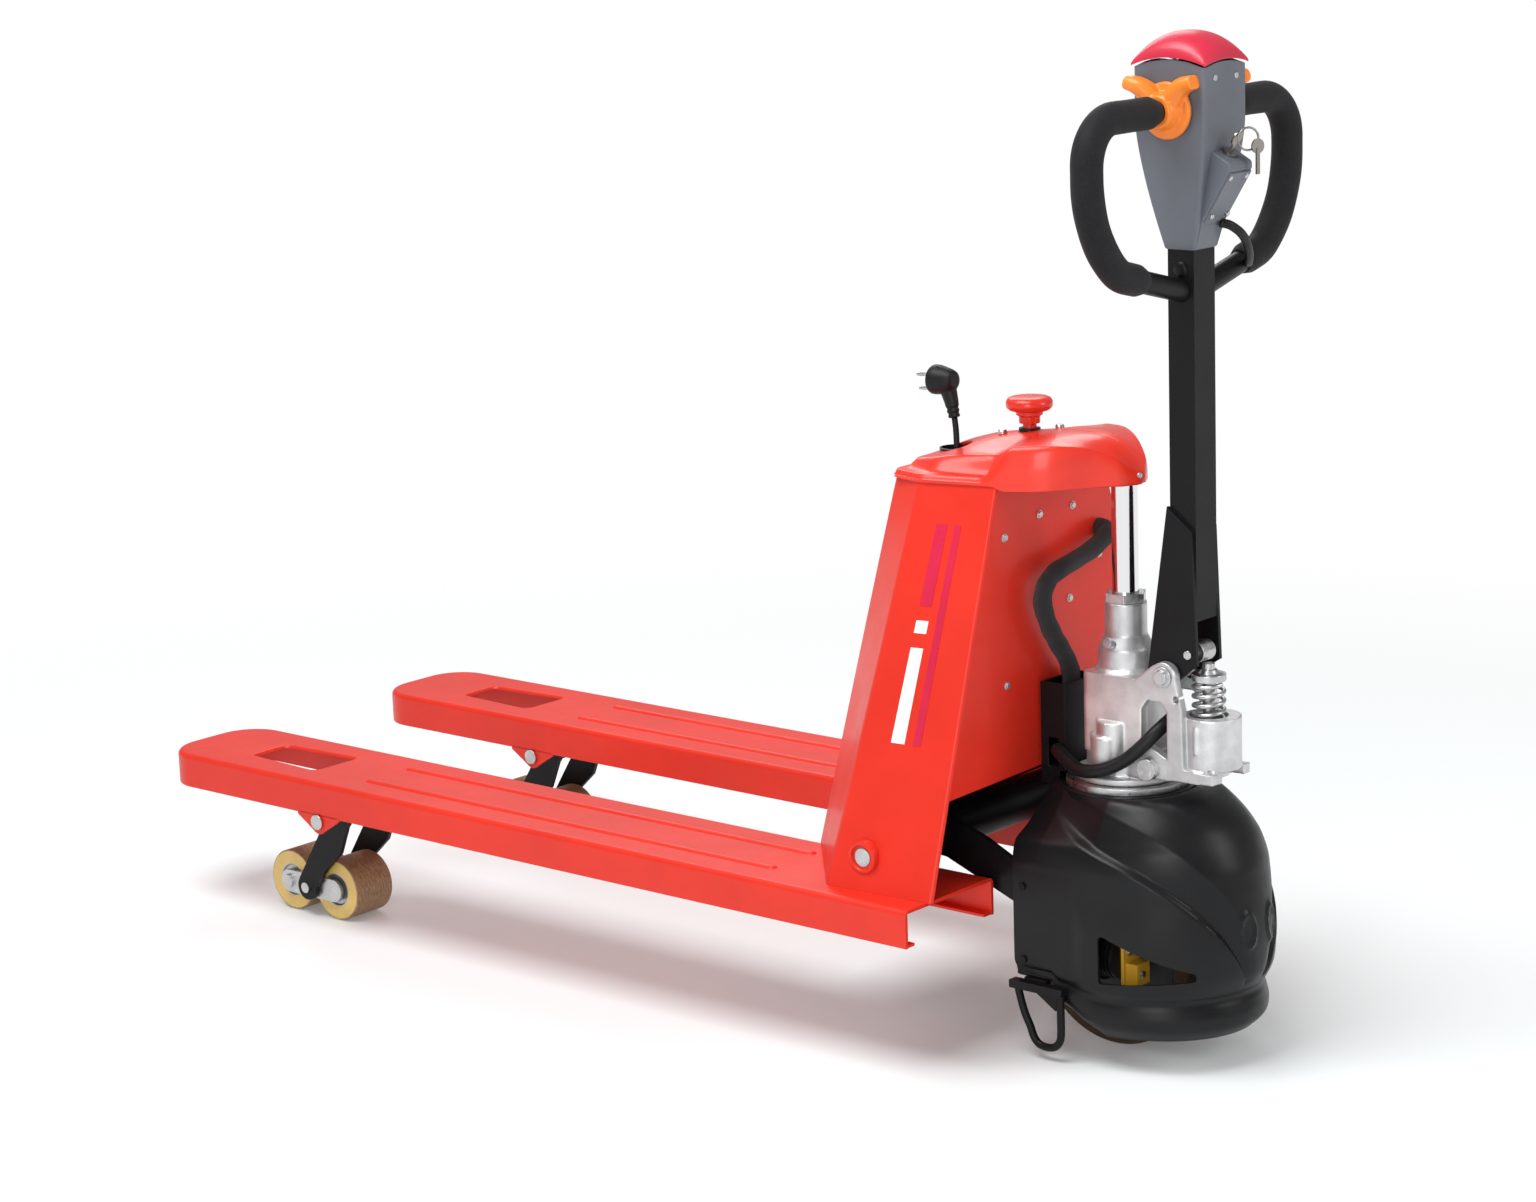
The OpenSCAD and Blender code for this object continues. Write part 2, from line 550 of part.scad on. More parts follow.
// ---- pump, turning about the steering axis -----------------------------------------
cheek_y0 = 26;
cheek_y1 = 38;
module cheek() difference() {
  union() {
    translate(piv) circle(16.5);
    polygon([[-20, 343], [-20, 435], [38, 435], [62, 454], [88, 452], [100, 405], [102, 338], [140, 338],
      [140, 326], [30, 322]]);
  }
  polygon([[46, 366], [46, 402], [54, 413], [72, 413], [80, 402], [80, 348]]);
  translate(piv) circle(8 + pin_fit);
  translate([92, 418]) circle(4);
}
module pump_casting() color("silver") translate([ax, 0, 0]) difference() {
  union() {
    translate([0, 0, ring_z + 16.2]) cylinder(r = 60, h = 8);
    translate([0, 0, ring_z + 20]) cylinder(r = 46, h = 30);
    translate([-36, -cheek_y1, 343]) round_box([80, 2 * cheek_y1, 92], 8);
    translate([4, 0, 340]) for (s = [-1, 1]) translate([0, s * 30, 0]) cylinder(r = 20, h = 42);
    translate([0, 0, 434]) cylinder(d = cyl_d + 6, h = 4);
    cylinder_profile();
    for (s = [-1, 1]) yplate(s > 0 ? cheek_y0 : -cheek_y1, s > 0 ? cheek_y1 : -cheek_y0) cheek();
    translate([30, -cheek_y0 - 2, 322]) cube([90, 2 * cheek_y0 + 4, 22]);
    translate([plun_x + 4, 0, 338]) cylinder(r = 33, h = 59);
    translate([plun_x, 0, 318]) cylinder(r = 14, h = 26);
    for (s = [-1, 1]) translate([plun_x + 4, s * 32, 358]) cylinder(r = 3, h = 30);
  }
  translate([plun_x, 0, 366]) cylinder(d = spring_d + 4, h = 60);
  translate([plun_x, 0, 321]) cylinder(r = 7 + pin_fit, h = 60);
  translate([0, 0, rod_z - lift - 1]) cylinder(d = rod_d + 2 * pin_fit, h = 250);
}
module cylinder_profile() rotate_extrude() polygon([[0, 420], [cyl_d / 2, 420], [cyl_d / 2, 461],
  [cyl_d / 2 - 8, 476], [cyl_d / 2 - 8, 513], [0, 513]]);
module gland_nut() color("silver") translate([ax, 0, 513.2]) difference() {
  cylinder(r = 25, h = 10.4, $fn = 6);
  translate([0, 0, -1]) cylinder(d = rod_d + 2 * pin_fit, h = 20);
}
module casting_bolts() color("silver") translate([ax, 0, 0]) {
  for (s = [-1, 1])
    ybar([57, 335], 12.5, s > 0 ? cheek_y1 : -cheek_y1 - 9, s > 0 ? cheek_y1 + 9 : -cheek_y1);
  translate([0, -29, 468]) rotate([65, 0, 0]) cylinder(r = 6, h = 9);
  translate([130, -26, 338]) rotate([90, 0, 0]) cylinder(r = 4, h = 10);
}
module tiller_pin() color("silver") translate([ax, 0, 0]) {
  ybar(piv, 8, -cheek_y1 - 6, cheek_y1 + 6);
  for (s = [-1, 1]) difference() {
    ybar(piv, 12, s > 0 ? cheek_y1 + 0.5 : -cheek_y1 - 2.5, s > 0 ? cheek_y1 + 2.5 : -cheek_y1 - 0.5);
    ybar(piv, 8, -60, 60);
  }
}

// ---- drive unit under the pump -----------------------------------------------------
wr = wheel_d / 2;
module drive_frame() color("dimgray") translate([ax, 0, 0]) difference() {
  union() {
    translate([0, 0, 246]) cylinder(r = 29, h = ring_z - 246 + 16.2);
    translate([0, 0, 236]) cylinder(r = 62, h = 10);
    for (s = [-1, 1]) {
      y = s > 0 ? wheel_w / 2 + 3 : -wheel_w / 2 - 11;
      yplate(y, y + 8) {
        polygon([[-40, 238], [40, 238], [30, wr], [-30, wr]]);
        translate([0, wr]) circle(30);
      }
    }
  }
  ybar([0, wr], 12 + pin_fit, -100, 100);
}
module gear_case() color("darkgray") translate([ax, 0, 0]) {
  y0 = wheel_w / 2 + 11.2;
  ybar([0, wr], 62, y0, y0 + 26);
  ybar([0, wr], 40, y0 + 26, y0 + 34);
}
module drive_motor() color("black") translate([ax, -wheel_w / 2 - 43, wr + 21]) rotate([0, 90, 0]) {
  translate([0, 0, -42]) cylinder(r = 28, h = 70);
  for (k = [0:6]) translate([0, 0, -38 + 10 * k]) cylinder(r = 31.5, h = 4);
  translate([-12, 10, -30]) cube([24, 22, 40]);
}
module motor_bracket() color("gold") translate([ax, -wheel_w / 2 - 43, wr + 21]) {
  translate([28.2, -24, -34]) cube([16, 48, 60]);
  translate([44, -14, -34]) cube([18, 34, 24]);
  for (p = [[44.2, -16, 14], [62.2, -7, -20]]) translate(p) rotate([0, 90, 0]) cylinder(r = 4, h = 3);
}
module drive_wheel() color("silver") translate([ax, 0, 0]) {
  ybar([0, wr], 12, -wheel_w / 2 - 10, wheel_w / 2 + 10);
  difference() {
    ybar([0, wr], wr - 22, -wheel_w / 2 + 2, wheel_w / 2 - 2);
    for (s = [-1, 1]) difference() {
      ybar([0, wr], wr - 34, s > 0 ? 12 : -60, s > 0 ? 60 : -12);
      ybar([0, wr], 30, -60, 60);
    }
  }
}
module drive_tyre() color("saddlebrown") translate([ax, 0, 0]) difference() {
  ybar([0, wr], wr, -wheel_w / 2, wheel_w / 2);
  ybar([0, wr], wr - 22, -60, 60);
}

// ---- pump plunger ------------------------------------------------------------------
module plunger() color("silver") translate([ax + plun_x, 0, 0]) {
  translate([0, 0, 364]) cylinder(r = 7, h = 91.5);
  translate([0, 0, 436]) cylinder(d = spring_d, h = 8);
  translate([0, 0, 444]) cylinder(r1 = 12, r2 = 9, h = 5);
}
spring_wire = 5;
coils = 6;
spring_z = [369, 433.3];
module return_spring() color("silver") translate([ax + plun_x, 0, 0])
  sweep([for (k = [0:12 * coils]) let (a = 30 * k, r = (spring_d - spring_wire) / 2)
    [r * cos(a), r * sin(a), spring_z[0] + (spring_z[1] - spring_z[0]) * k / (12 * coils)]],
    spring_wire / 2, 6, [0, 0, 1]);

// ---- tiller ------------------------------------------------------------------------
module tiller_frame() color("black") translate([ax, 0, 0]) difference() {
  union() {
    translate([tube_cx - tube_x / 2, -tube_y / 2, 505]) cube([tube_x, tube_y, head_z0 + 66 - 505]);
    for (s = [-1, 1]) yplate(s > 0 ? tube_y / 2 : -tube_y / 2 - 5, s > 0 ? tube_y / 2 + 5 : -tube_y / 2) {
      polygon([[47, 447], [74, 632], [106, 607], [112, 456], [104, 451], piv + [4, -14], piv + [-8, -12]]);
      translate(piv) circle(14);
    }
    translate([tube_cx - 14, -tube_y / 2, 500]) cube([6, tube_y, 60]);
  }
  ybar(piv, 8 + pin_fit, -60, 60);
  translate([tube_cx - tube_x / 2 + 3, -tube_y / 2 + 3, 508]) cube([tube_x - 6, tube_y - 6, 700]);
  ybar(rol, 5, -60, 60);
}
module tiller_roller() color("silver") translate([ax, 0, 0]) {
  ybar(rol, 12, -12, 12);
  ybar(rol, 5, -tube_y / 2 - 8, tube_y / 2 + 8);
}
// one side of the handle in Y and Z: top bar, shoulder, side, heel and lower bar
function arc(c, r, a0, a1, n) =
  [for (k = [0:n]) c + r * [cos(a0 + (a1 - a0) * k / n), sin(a0 + (a1 - a0) * k / n)]];
heel_c = [handle_y - 130, bar_z - 60];
toe_c = heel_c + 80 * [cos(50), -sin(50)];
function bend() = concat(arc([handle_y - 48, bar_z - 48], 48, 90, 0, 7), arc(heel_c, 130, 0, -50, 7),
  arc(toe_c, 50, -55, -76, 3));
toe = toe_c + 50 * [cos(76), -sin(76)];
low_y = tube_y / 2 - 3;
loop_side = concat([[0, bar_z], [70, bar_z]], bend(),
  [[95, toe[1] - (toe[0] - 95) * tan(14)], [low_y, toe[1] - (toe[0] - low_y) * tan(14)]]);
function in_x(p) = [for (q = p) [0, q[0], q[1]]];
module handle_loop() color("black") difference() {
  for (s = [0, 1])
    translate([ax + tube_cx, 0, 0]) mirror([0, s, 0]) sweep(in_x(loop_side), 12.5, 24, [1, 0, 0]);
  translate([ax + tube_cx - 20, -tube_y / 2, 600]) cube([40, tube_y, head_z0 - 600]);
}
module grip() color([0.12, 0.12, 0.14]) translate([ax + tube_cx, 0, 0])
  sleeve(in_x([for (k = [1:len(loop_side) - 2]) loop_side[k]]), grip_d / 2, 12.6, 24, [1, 0, 0]);
module grip_left() mirror([0, 1, 0]) grip();
module grip_right() grip();
head_x = 46;                     // half depth of the head at its top
head_y = 40;
head_foot = [19.5, 23.5];
head_kink = tiller_h - 100;      // the head tapers below this height
module head_solid(i) hull() {
  translate([ax + tube_cx - head_x + i, -head_y + i, head_kink])
    cube([2 * (head_x - i), 2 * (head_y - i), head_z1 - head_kink - i]);
  translate([ax + tube_cx - head_foot[0] + i, -head_foot[1] + i, head_z0])
    cube([2 * (head_foot[0] - i), 2 * (head_foot[1] - i), 5]);
}
// wedge-shaped box for the key switch, its top sloping outwards
key_tilt = 30;
key_x = tube_cx + 50;
key_z = tiller_h - 130;
module key_box() translate([ax, 0, 0]) yplate(-22, 22) polygon([[key_x - 24, key_z + 24 * tan(key_tilt)],
  [key_x + 15, key_z - 15 * tan(key_tilt)], [key_x + 15, key_z - 15], [tube_cx + 26, head_z0 + 26],
  [tube_cx + 10, head_z0 + 26]]);
module tiller_head() color("slategray") difference() {
  union() {
    head_solid(0);
    key_box();
  }
  difference() {
    head_solid(3);
    translate([ax + tube_cx - 60, -60, head_z0 + 40]) cube([120, 120, 4]);
  }
  translate([ax + tube_cx - tube_x / 2 - 0.1, -tube_y / 2 - 0.1, head_z0 - 10])
    cube([tube_x + 0.2, tube_y + 0.2, 80]);
  translate([ax + tube_cx, 0, head_z1 - 20]) cylinder(r = 14.5, h = 40);
  ybar([ax + tube_cx, bar_z], 12.5, -60, 60);
  translate([ax + key_x, 0, key_z]) rotate([0, key_tilt, 0]) translate([0, 0, -22])
    cylinder(r = 7 + pin_fit, h = 60);
}
module head_screws() color("silver") {
  for (y = [-15, 15], k = [0, 1])
    translate([ax + key_x + 9 - 24 * k, y, key_z - 23 - 42 * k]) rotate([0, 120, 0]) cylinder(r = 3, h = 4);
  for (y = [-13, 13])
    translate([ax + tube_cx + 18, y, head_z0 + 14]) rotate([0, 90, 0]) cylinder(r = 3, h = 4.5);
  for (y = [-20, 20])
    translate([ax + tube_cx + head_x - 0.5, y, head_z1 - 12]) rotate([0, 90, 0]) cylinder(r = 3.5, h = 1.5);
}
cable_pts = [[128, 18, 940], [130, 26, 936], [131, 36, 930], [129, 48, 922], [125, 60, 912], [119, 72, 902],
  [112, 82, 894], [106, 90, 889]];
module head_cable() color("black") translate([ax, 0, tiller_h - 1148]) sweep(cable_pts, 5, 10);
module throttle() color("orange") translate([ax + tube_cx, 0, bar_z])
  for (s = [0, 1]) mirror([0, s, 0]) difference() {
  union() {
    ybar([0, 0], 31, head_y + 1, head_y + 7);
    ybar([0, 0], 20, head_y + 7, head_y + 24);
    for (k = [-1, 1]) hull() {
      ybar([k * 12, 10], 9, head_y + 7, head_y + 24);
      ybar([k * 40, 30], 7, head_y + 10, head_y + 24);
    }
  }
  ybar([0, 0], 12.5 + pin_fit, 0, 100);
}
module belly_button() color("crimson") translate([ax + tube_cx, 0, 0]) {
  intersection() {
    translate([-head_x, -head_y, head_z1 + 6]) cube([2 * head_x, 2 * head_y, 40]);
    translate([0, 0, tiller_h - 110]) sphere(110, $fn = 96);
  }
  translate([0, 0, head_z1 - 16]) cylinder(r = 14, h = 30);
}
// key in its lock barrel, with a ring and the spare key on it
module ignition_key() color("silver") translate([ax + key_x, 0, key_z]) rotate([0, key_tilt, 0]) {
  translate([0, 0, -20]) cylinder(r = 7, h = 21);
  translate([0, 0, 0.4]) cylinder(r = 8, h = 2.6);
  translate([-1, -3, 2]) cube([2, 6, 12]);
  translate([-1, 0, 20]) rotate([0, 90, 0]) cylinder(r = 8.5, h = 2);
  rotate([0, -key_tilt, 0]) translate([20, 6, 16]) {
    rotate([90, 0, 60]) rotate_extrude() translate([12, 0]) circle(1.2, $fn = 16);
    translate([6, 8, -8]) rotate([0, 90, -20]) cylinder(r = 8, h = 2);
    translate([6, 4.5, -38]) cube([2, 6, 28]);
  }
}

// ---- sleeved harness from the box wall to the bracket and on into the casting ------
loom_pts = [[-99.5, 88, 572], [-88, 88, 572], [-80, 80, 566], [-79, 50, 556], [-79, 12, 549],
  [-79, -26, 542],
  [-79, -42, 530], [-80, -47, 512], [-80, -42, 494], [-80, -32, 476], [-79, -18, 456], [-79, -4, 436],
  [-79, 2, 418], [-79, 2, 400]];
module harness() color([0.15, 0.15, 0.15]) translate([ax, 0, 0]) sweep(loom_pts, 10, 12);

fork_left();
fork_right();
battery_box();
box_frame();
top_cover();
crosshead();
battery_pack();
charger_unit();
motor_controller();
piston_rod();
crank_pins();
arm_pins();
box_screws();
estop_base();
estop_button();
cable_gland();
charger_cord();
charger_coil();
charger_plug();
bell_crank();
push_rod_left();
push_rod_right();
roller_arm_left();
roller_arm_right();
bogie_left();
bogie_right();
roller_left_front();
roller_left_rear();
roller_right_front();
roller_right_rear();
carrier();
cable_bracket();
drive_cover();
skid_hoops();
cover_screws();
thrust_bearing();
pump_casting();
gland_nut();
casting_bolts();
tiller_pin();
drive_frame();
gear_case();
drive_motor();
motor_bracket();
drive_wheel();
drive_tyre();
plunger();
return_spring();
tiller_frame();
tiller_roller();
handle_loop();
grip_left();
grip_right();
tiller_head();
head_screws();
head_cable();
throttle();
belly_button();
ignition_key();
harness();
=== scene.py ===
import json
import math
import bmesh
import bpy
import numpy as np
from mathutils import Matrix, Vector


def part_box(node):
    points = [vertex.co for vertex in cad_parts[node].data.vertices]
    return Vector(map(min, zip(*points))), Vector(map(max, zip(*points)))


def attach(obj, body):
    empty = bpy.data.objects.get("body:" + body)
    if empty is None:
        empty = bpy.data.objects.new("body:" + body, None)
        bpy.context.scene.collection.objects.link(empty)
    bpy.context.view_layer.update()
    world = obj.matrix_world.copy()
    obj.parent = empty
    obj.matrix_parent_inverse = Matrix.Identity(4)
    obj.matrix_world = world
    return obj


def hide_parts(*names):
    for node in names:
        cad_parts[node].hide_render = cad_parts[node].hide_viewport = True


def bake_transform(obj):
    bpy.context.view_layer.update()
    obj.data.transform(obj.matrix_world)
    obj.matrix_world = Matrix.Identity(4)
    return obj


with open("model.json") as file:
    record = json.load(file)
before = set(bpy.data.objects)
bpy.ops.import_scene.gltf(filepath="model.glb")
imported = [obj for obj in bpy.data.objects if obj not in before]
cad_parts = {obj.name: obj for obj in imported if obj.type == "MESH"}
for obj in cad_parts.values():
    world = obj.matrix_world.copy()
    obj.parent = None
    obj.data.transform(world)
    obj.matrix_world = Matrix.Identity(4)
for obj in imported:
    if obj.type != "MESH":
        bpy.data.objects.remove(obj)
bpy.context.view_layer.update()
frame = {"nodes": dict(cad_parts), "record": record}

nodes, record = frame["nodes"], frame["record"]
body_of_node = {n: b for b, names in record["behaviour"]["bodies"].items() for n in names}
slot_of_node = {s["node"]: s["material_slot"] for s in record["subparts"]}
AX = 0.5975                      # X of the steering axis
scene = bpy.context.scene

# ---- camera and light ----
# A three-quarter view from the tiller's side, a little above the pump, with a long lens, in
# front of an all-white studio cove.
cam = bpy.data.objects.new("camera", bpy.data.cameras.new("camera"))
scene.collection.objects.link(cam)
scene.camera = cam
cam.data.lens, cam.data.sensor_width = 84.17, 36
yaw, pitch, roll = (math.radians(a) for a in (41.2, 12.35, -1.94))
fwd = Vector((-math.sin(yaw) * math.cos(pitch), math.cos(yaw) * math.cos(pitch), -math.sin(pitch)))
right = Vector((math.cos(yaw), math.sin(yaw), 0))
up = right.cross(fwd)
right, up = right * math.cos(roll) + up * math.sin(roll), up * math.cos(roll) - right * math.sin(roll)
turn = Matrix((right, up, -fwd)).transposed().to_4x4()
cam.matrix_world = Matrix.Translation((2.8875, -3.2251, 1.3879)) @ turn
cam.data.clip_start, cam.data.clip_end = 0.05, 60

scene.view_settings.view_transform = "Standard"
scene.view_settings.look = "None"
world = bpy.data.worlds.new("studio")
scene.world = world
world.use_nodes = True
world.node_tree.nodes["Background"].inputs["Color"].default_value = (1, 1, 1, 1)
world.node_tree.nodes["Background"].inputs["Strength"].default_value = 0.34


def area_light(name, at, to, size, watts):
    data = bpy.data.lights.new(name, "AREA")
    data.shape, data.size, data.size_y, data.energy = "RECTANGLE", *size, watts
    ob = bpy.data.objects.new(name, data)
    scene.collection.objects.link(ob)
    ob.location = at
    ob.rotation_euler = (Vector(to) - Vector(at)).to_track_quat("-Z", "Y").to_euler()


area_light("key", (-0.2, -1.6, 4.2), (0.1, 0, 0.2), (3.0, 2.2), 165)
area_light("front", (2.6, -4.2, 1.6), (0.3, 0, 0.5), (1.6, 2.4), 72)
area_light("side", (4.2, 1.2, 2.4), (0.6, 0, 0.5), (1.0, 2.2), 50)
area_light("back", (-2.4, 2.6, 3.0), (0, 0, 0.4), (2.5, 1.5), 40)


# ---- charger lead ----
# A 7 mm mains lead that is stored as a coil in the box and comes up through a gland in the
# cover's cup, with a moulded two-pin right-angle plug that stands on the lead's end.
mats, made = {}, set()             # materials by slot, and nodes that have been made


class Socket:
    def __init__(self, tree, socket):
        self.tree, self.socket = tree, socket

    def _math(self, op, other, swap=False):
        n = self.tree.nodes.new("ShaderNodeMath")
        n.operation = op
        for k, v in enumerate((other, self) if swap else (self, other)):
            link(self.tree, v, n.inputs[k])
        return Socket(self.tree, n.outputs[0])

    def __add__(self, o): return self._math("ADD", o)
    def __radd__(self, o): return self._math("ADD", o)
    def __sub__(self, o): return self._math("SUBTRACT", o)
    def __rsub__(self, o): return self._math("SUBTRACT", o, True)
    def __mul__(self, o): return self._math("MULTIPLY", o)
    def __rmul__(self, o): return self._math("MULTIPLY", o)
    def __pow__(self, o): return self._math("POWER", o)
    def abs(self): return self._math("ABSOLUTE", 0)
    def sin(self): return self._math("SINE", 0)
    def max(self, o): return self._math("MAXIMUM", o)

    # 0 below lo, 1 above hi, smooth between
    def step(self, lo, hi):
        n = self.tree.nodes.new("ShaderNodeMapRange")
        n.interpolation_type = "SMOOTHSTEP"
        link(self.tree, self, n.inputs["Value"])
        n.inputs["From Min"].default_value, n.inputs["From Max"].default_value = lo, hi
        return Socket(self.tree, n.outputs[0])


def link(tree, value, target):
    if isinstance(value, Socket):
        tree.links.new(value.socket, target)
    elif isinstance(value, (tuple, list)) and len(value) == 3 and target.type == "RGBA":
        target.default_value = (*value, 1)
    else:
        target.default_value = value


class Material:
    def __init__(self, name, color, rough, metal=0.0, coat=0.0, **consts):
        self.mat = bpy.data.materials.new(name)
        self.mat.use_nodes = True
        self.tree = self.mat.node_tree
        self.bsdf = self.tree.nodes["Principled BSDF"]
        self.set(**{"Base Color": color, "Roughness": rough, "Metallic": metal, "Coat Weight": coat,
            **consts})

    # one node: its type, its output, then its inputs by name and its settings
    def node(self, kind, out=0, settings=(), **inputs):
        n = self.tree.nodes.new("ShaderNode" + kind)
        for k, v in dict(settings).items():
            setattr(n, k, v)
        for k, v in inputs.items():
            link(self.tree, v, n.inputs[k.replace("_", " ")])
        return Socket(self.tree, n.outputs[out])

    def set(self, **values):
        for k, v in values.items():
            link(self.tree, v, self.bsdf.inputs[k])
        return self

    def at(self, scale=(1, 1, 1)):
        return self.node("Mapping", Vector=self.node("TexCoord", "Object"), Scale=scale)

    def xyz(self):
        at = self.at()
        return [self.node("SeparateXYZ", k, Vector=at) for k in "XYZ"]

    def noise(self, scale, detail=2.0, rough=0.5, stretch=(1, 1, 1)):
        return self.node("TexNoise", "Fac", Vector=self.at(stretch), Scale=scale, Detail=detail,
            Roughness=rough)

    def mix(self, factor, a, b):
        n = self.tree.nodes.new("ShaderNodeMix")
        n.data_type = "RGBA"
        link(self.tree, factor, n.inputs[0])
        link(self.tree, a, n.inputs[6])
        link(self.tree, b, n.inputs[7])
        return Socket(self.tree, n.outputs[2])

    def bump(self, height, strength, distance=0.001):
        return self.set(Normal=self.node("Bump", "Normal", Height=height, Strength=strength,
            Distance=distance))

    # 1 along outer edges, 0 on flat faces
    def edges(self, radius=0.002):
        near = self.node("Bevel", "Normal", {"samples": 4}, Radius=radius)
        return 1.0 - self.dot(near, self.node("NewGeometry", "Normal"))

    def dot(self, a, b):
        n = self.tree.nodes.new("ShaderNodeVectorMath")
        n.operation = "DOT_PRODUCT"
        link(self.tree, a, n.inputs[0])
        link(self.tree, b, n.inputs[1])
        return Socket(self.tree, n.outputs["Value"])


def tint(color, k):
    return tuple(min(1.0, c * k) for c in color)


# moulded plastic: fine spark-eroded grain, faint handling marks in the gloss
def plastic(name, color, rough, grain=0.15, scale=1500, coat=0.0, shine=0.5):
    m = Material(name, color, rough, coat=coat, **{"Specular IOR Level": shine})
    m.set(**{"Base Color": m.mix(m.noise(9, 3, 0.6).step(0.3, 0.7), tint(color, 0.9), tint(color, 1.1)),
             "Roughness": m.noise(22, 5, 0.7).step(0.25, 0.8) * 0.12 + (rough - 0.04)})
    return m.bump(m.noise(scale, 2, 0.6), grain, 0.0004)


def steel():
    m = Material("steel", (0.55, 0.55, 0.56), 0.32, metal=1.0)
    cloud = m.noise(70, 4, 0.6)
    m.set(**{"Base Color": m.mix(cloud, (0.42, 0.42, 0.43), (0.68, 0.68, 0.68)),
             "Roughness": m.noise(160, 3, 0.6).step(0.2, 0.8) * 0.25 + 0.22})
    return m.bump(m.noise(500, 2, 0.6), 0.08, 0.0004)


def finish_piece(ob, like=None, body=None, mat=None, replaces=()):
    slot = mat or slot_of_node[like]
    ob.data.materials.clear()
    ob.data.materials.append(mats[slot].mat)
    if body is not False:
        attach(ob, body or body_of_node[like])
    slot in {s["slot"] for s in record["materials"]}
    names = ([like] if like and replaces is not None else []) + list(replaces or ())
    if names:
        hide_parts(*names)
    return ob


def grid_faces(rows, cols, wrap_rows=False, wrap_cols=False):
    i, j = np.meshgrid(np.arange(rows if wrap_rows else rows - 1),
        np.arange(cols if wrap_cols else cols - 1), indexing="ij")
    i, j = i.ravel(), j.ravel()
    i1, j1 = (i + 1) % rows, (j + 1) % cols
    return np.stack([i * cols + j, i * cols + j1, i1 * cols + j1, i1 * cols + j], 1).tolist()


def unit(v):
    return v / np.linalg.norm(v, axis=-1, keepdims=True)


# points in mm from the steering axis, brought to metres in the truck's own frame
def place(p):
    return np.asarray(p, float) / 1000 + (AX, 0, 0)


# smooth 0 to 1 between two values
def ease(x, lo, hi):
    t = np.clip((np.asarray(x, float) - lo) / (hi - lo), 0, 1)
    return t * t * (3 - 2 * t)


# a cubic through the points, its tangents taken from each point's neighbours
def curve_through(pts, n=8):
    p = np.asarray(pts, float)
    q = np.vstack([2 * p[0] - p[1], p, 2 * p[-1] - p[-2]])
    t = np.linspace(0, 1, n, endpoint=False)[None, :, None]
    a, b, c, d = (q[k:len(q) - 3 + k, None] for k in range(4))
    s = 0.5 * (2 * b + (c - a) * t + (2 * a - 5 * b + 4 * c - d) * t**2 + (3 * b - a - 3 * c + d) * t**3)
    return np.vstack([s.reshape(-1, p.shape[1]), p[-1:]])


# closed rings of points joined by quads; both ends closed, or the last ring joined to the first
def loft(rings, closed=False):
    r = np.asarray(rings, float)
    m, n = r.shape[:2]
    faces = grid_faces(m, n, wrap_rows=closed, wrap_cols=True)
    if not closed:
        faces += [list(range(n))[::-1], [(m - 1) * n + k for k in range(n)]]
    return r.reshape(-1, 3), faces


# a circle of given radius carried along a path; ref is a direction that the path never takes
def tube(path, radius, ref=(0, 0, 1), n=24):
    p = np.asarray(path, float)
    d = unit(np.gradient(p, axis=0))
    u = unit(np.cross(d, ref))
    w = np.cross(d, u)
    t = np.linspace(0, 2 * np.pi, n, endpoint=False)[None, :, None]
    r = np.broadcast_to(radius, len(p))[:, None, None]
    return loft(p[:, None] + r * (np.cos(t) * u[:, None] + np.sin(t) * w[:, None]))


# an outline in X and Y at each height, given as (z, outline)
def stack(levels):
    return loft([np.insert(np.asarray(o, float), 2, z, axis=1) for z, o in levels])


def join(*parts):
    verts, faces, k = [], [], 0
    for v, f in parts:
        verts.append(np.asarray(v, float))
        faces += [[i + k for i in q] for q in f]
        k += len(v)
    return np.vstack(verts), faces


def solid(name, shape, metres=False):
    v = shape[0] if metres else place(shape[0])
    me = bpy.data.meshes.new(name)
    me.from_pydata(v.tolist(), [], [tuple(f) for f in shape[1]])
    me.validate()
    bm = bmesh.new()
    bm.from_mesh(me)
    bmesh.ops.recalc_face_normals(bm, faces=bm.faces)
    bm.to_mesh(me)
    bm.free()
    ob = bpy.data.objects.new(name, me)
    scene.collection.objects.link(ob)
    return ob


def bake(ob):
    dg = bpy.context.evaluated_depsgraph_get()
    me = bpy.data.meshes.new_from_object(ob.evaluated_get(dg), preserve_all_data_layers=True, depsgraph=dg)
    ob.modifiers.clear()
    ob.data = me
    return ob


# melts overlapping closed shapes into one skin, with soft fillets where they meet
def fuse(ob, voxel, rounds):
    m = ob.modifiers.new("skin", "REMESH")
    m.mode, m.voxel_size = "VOXEL", voxel / 1000
    m = ob.modifiers.new("soften", "SMOOTH")
    m.factor, m.iterations = 0.5, rounds
    bpy.context.view_layer.update()
    bake(ob)
    ob.data.shade_smooth()
    return ob


def done(ob, like=None, mat=None, body=None, replaces=(), bevel=0.0, angle=40, segments=3):
    ob.data.shade_smooth()
    if bevel:
        m = ob.modifiers.new("edge", "BEVEL")
        m.width, m.segments = bevel / 1000, segments
        m.limit_method, m.angle_limit = "ANGLE", math.radians(angle)
        m.use_clamp_overlap = True
        m = ob.modifiers.new("normals", "WEIGHTED_NORMAL")
        m.keep_sharp, m.weight = True, 60
    else:
        ob.data.set_sharp_from_angle(angle=math.radians(angle))
    return finish_piece(ob, like, body, mat, replaces)


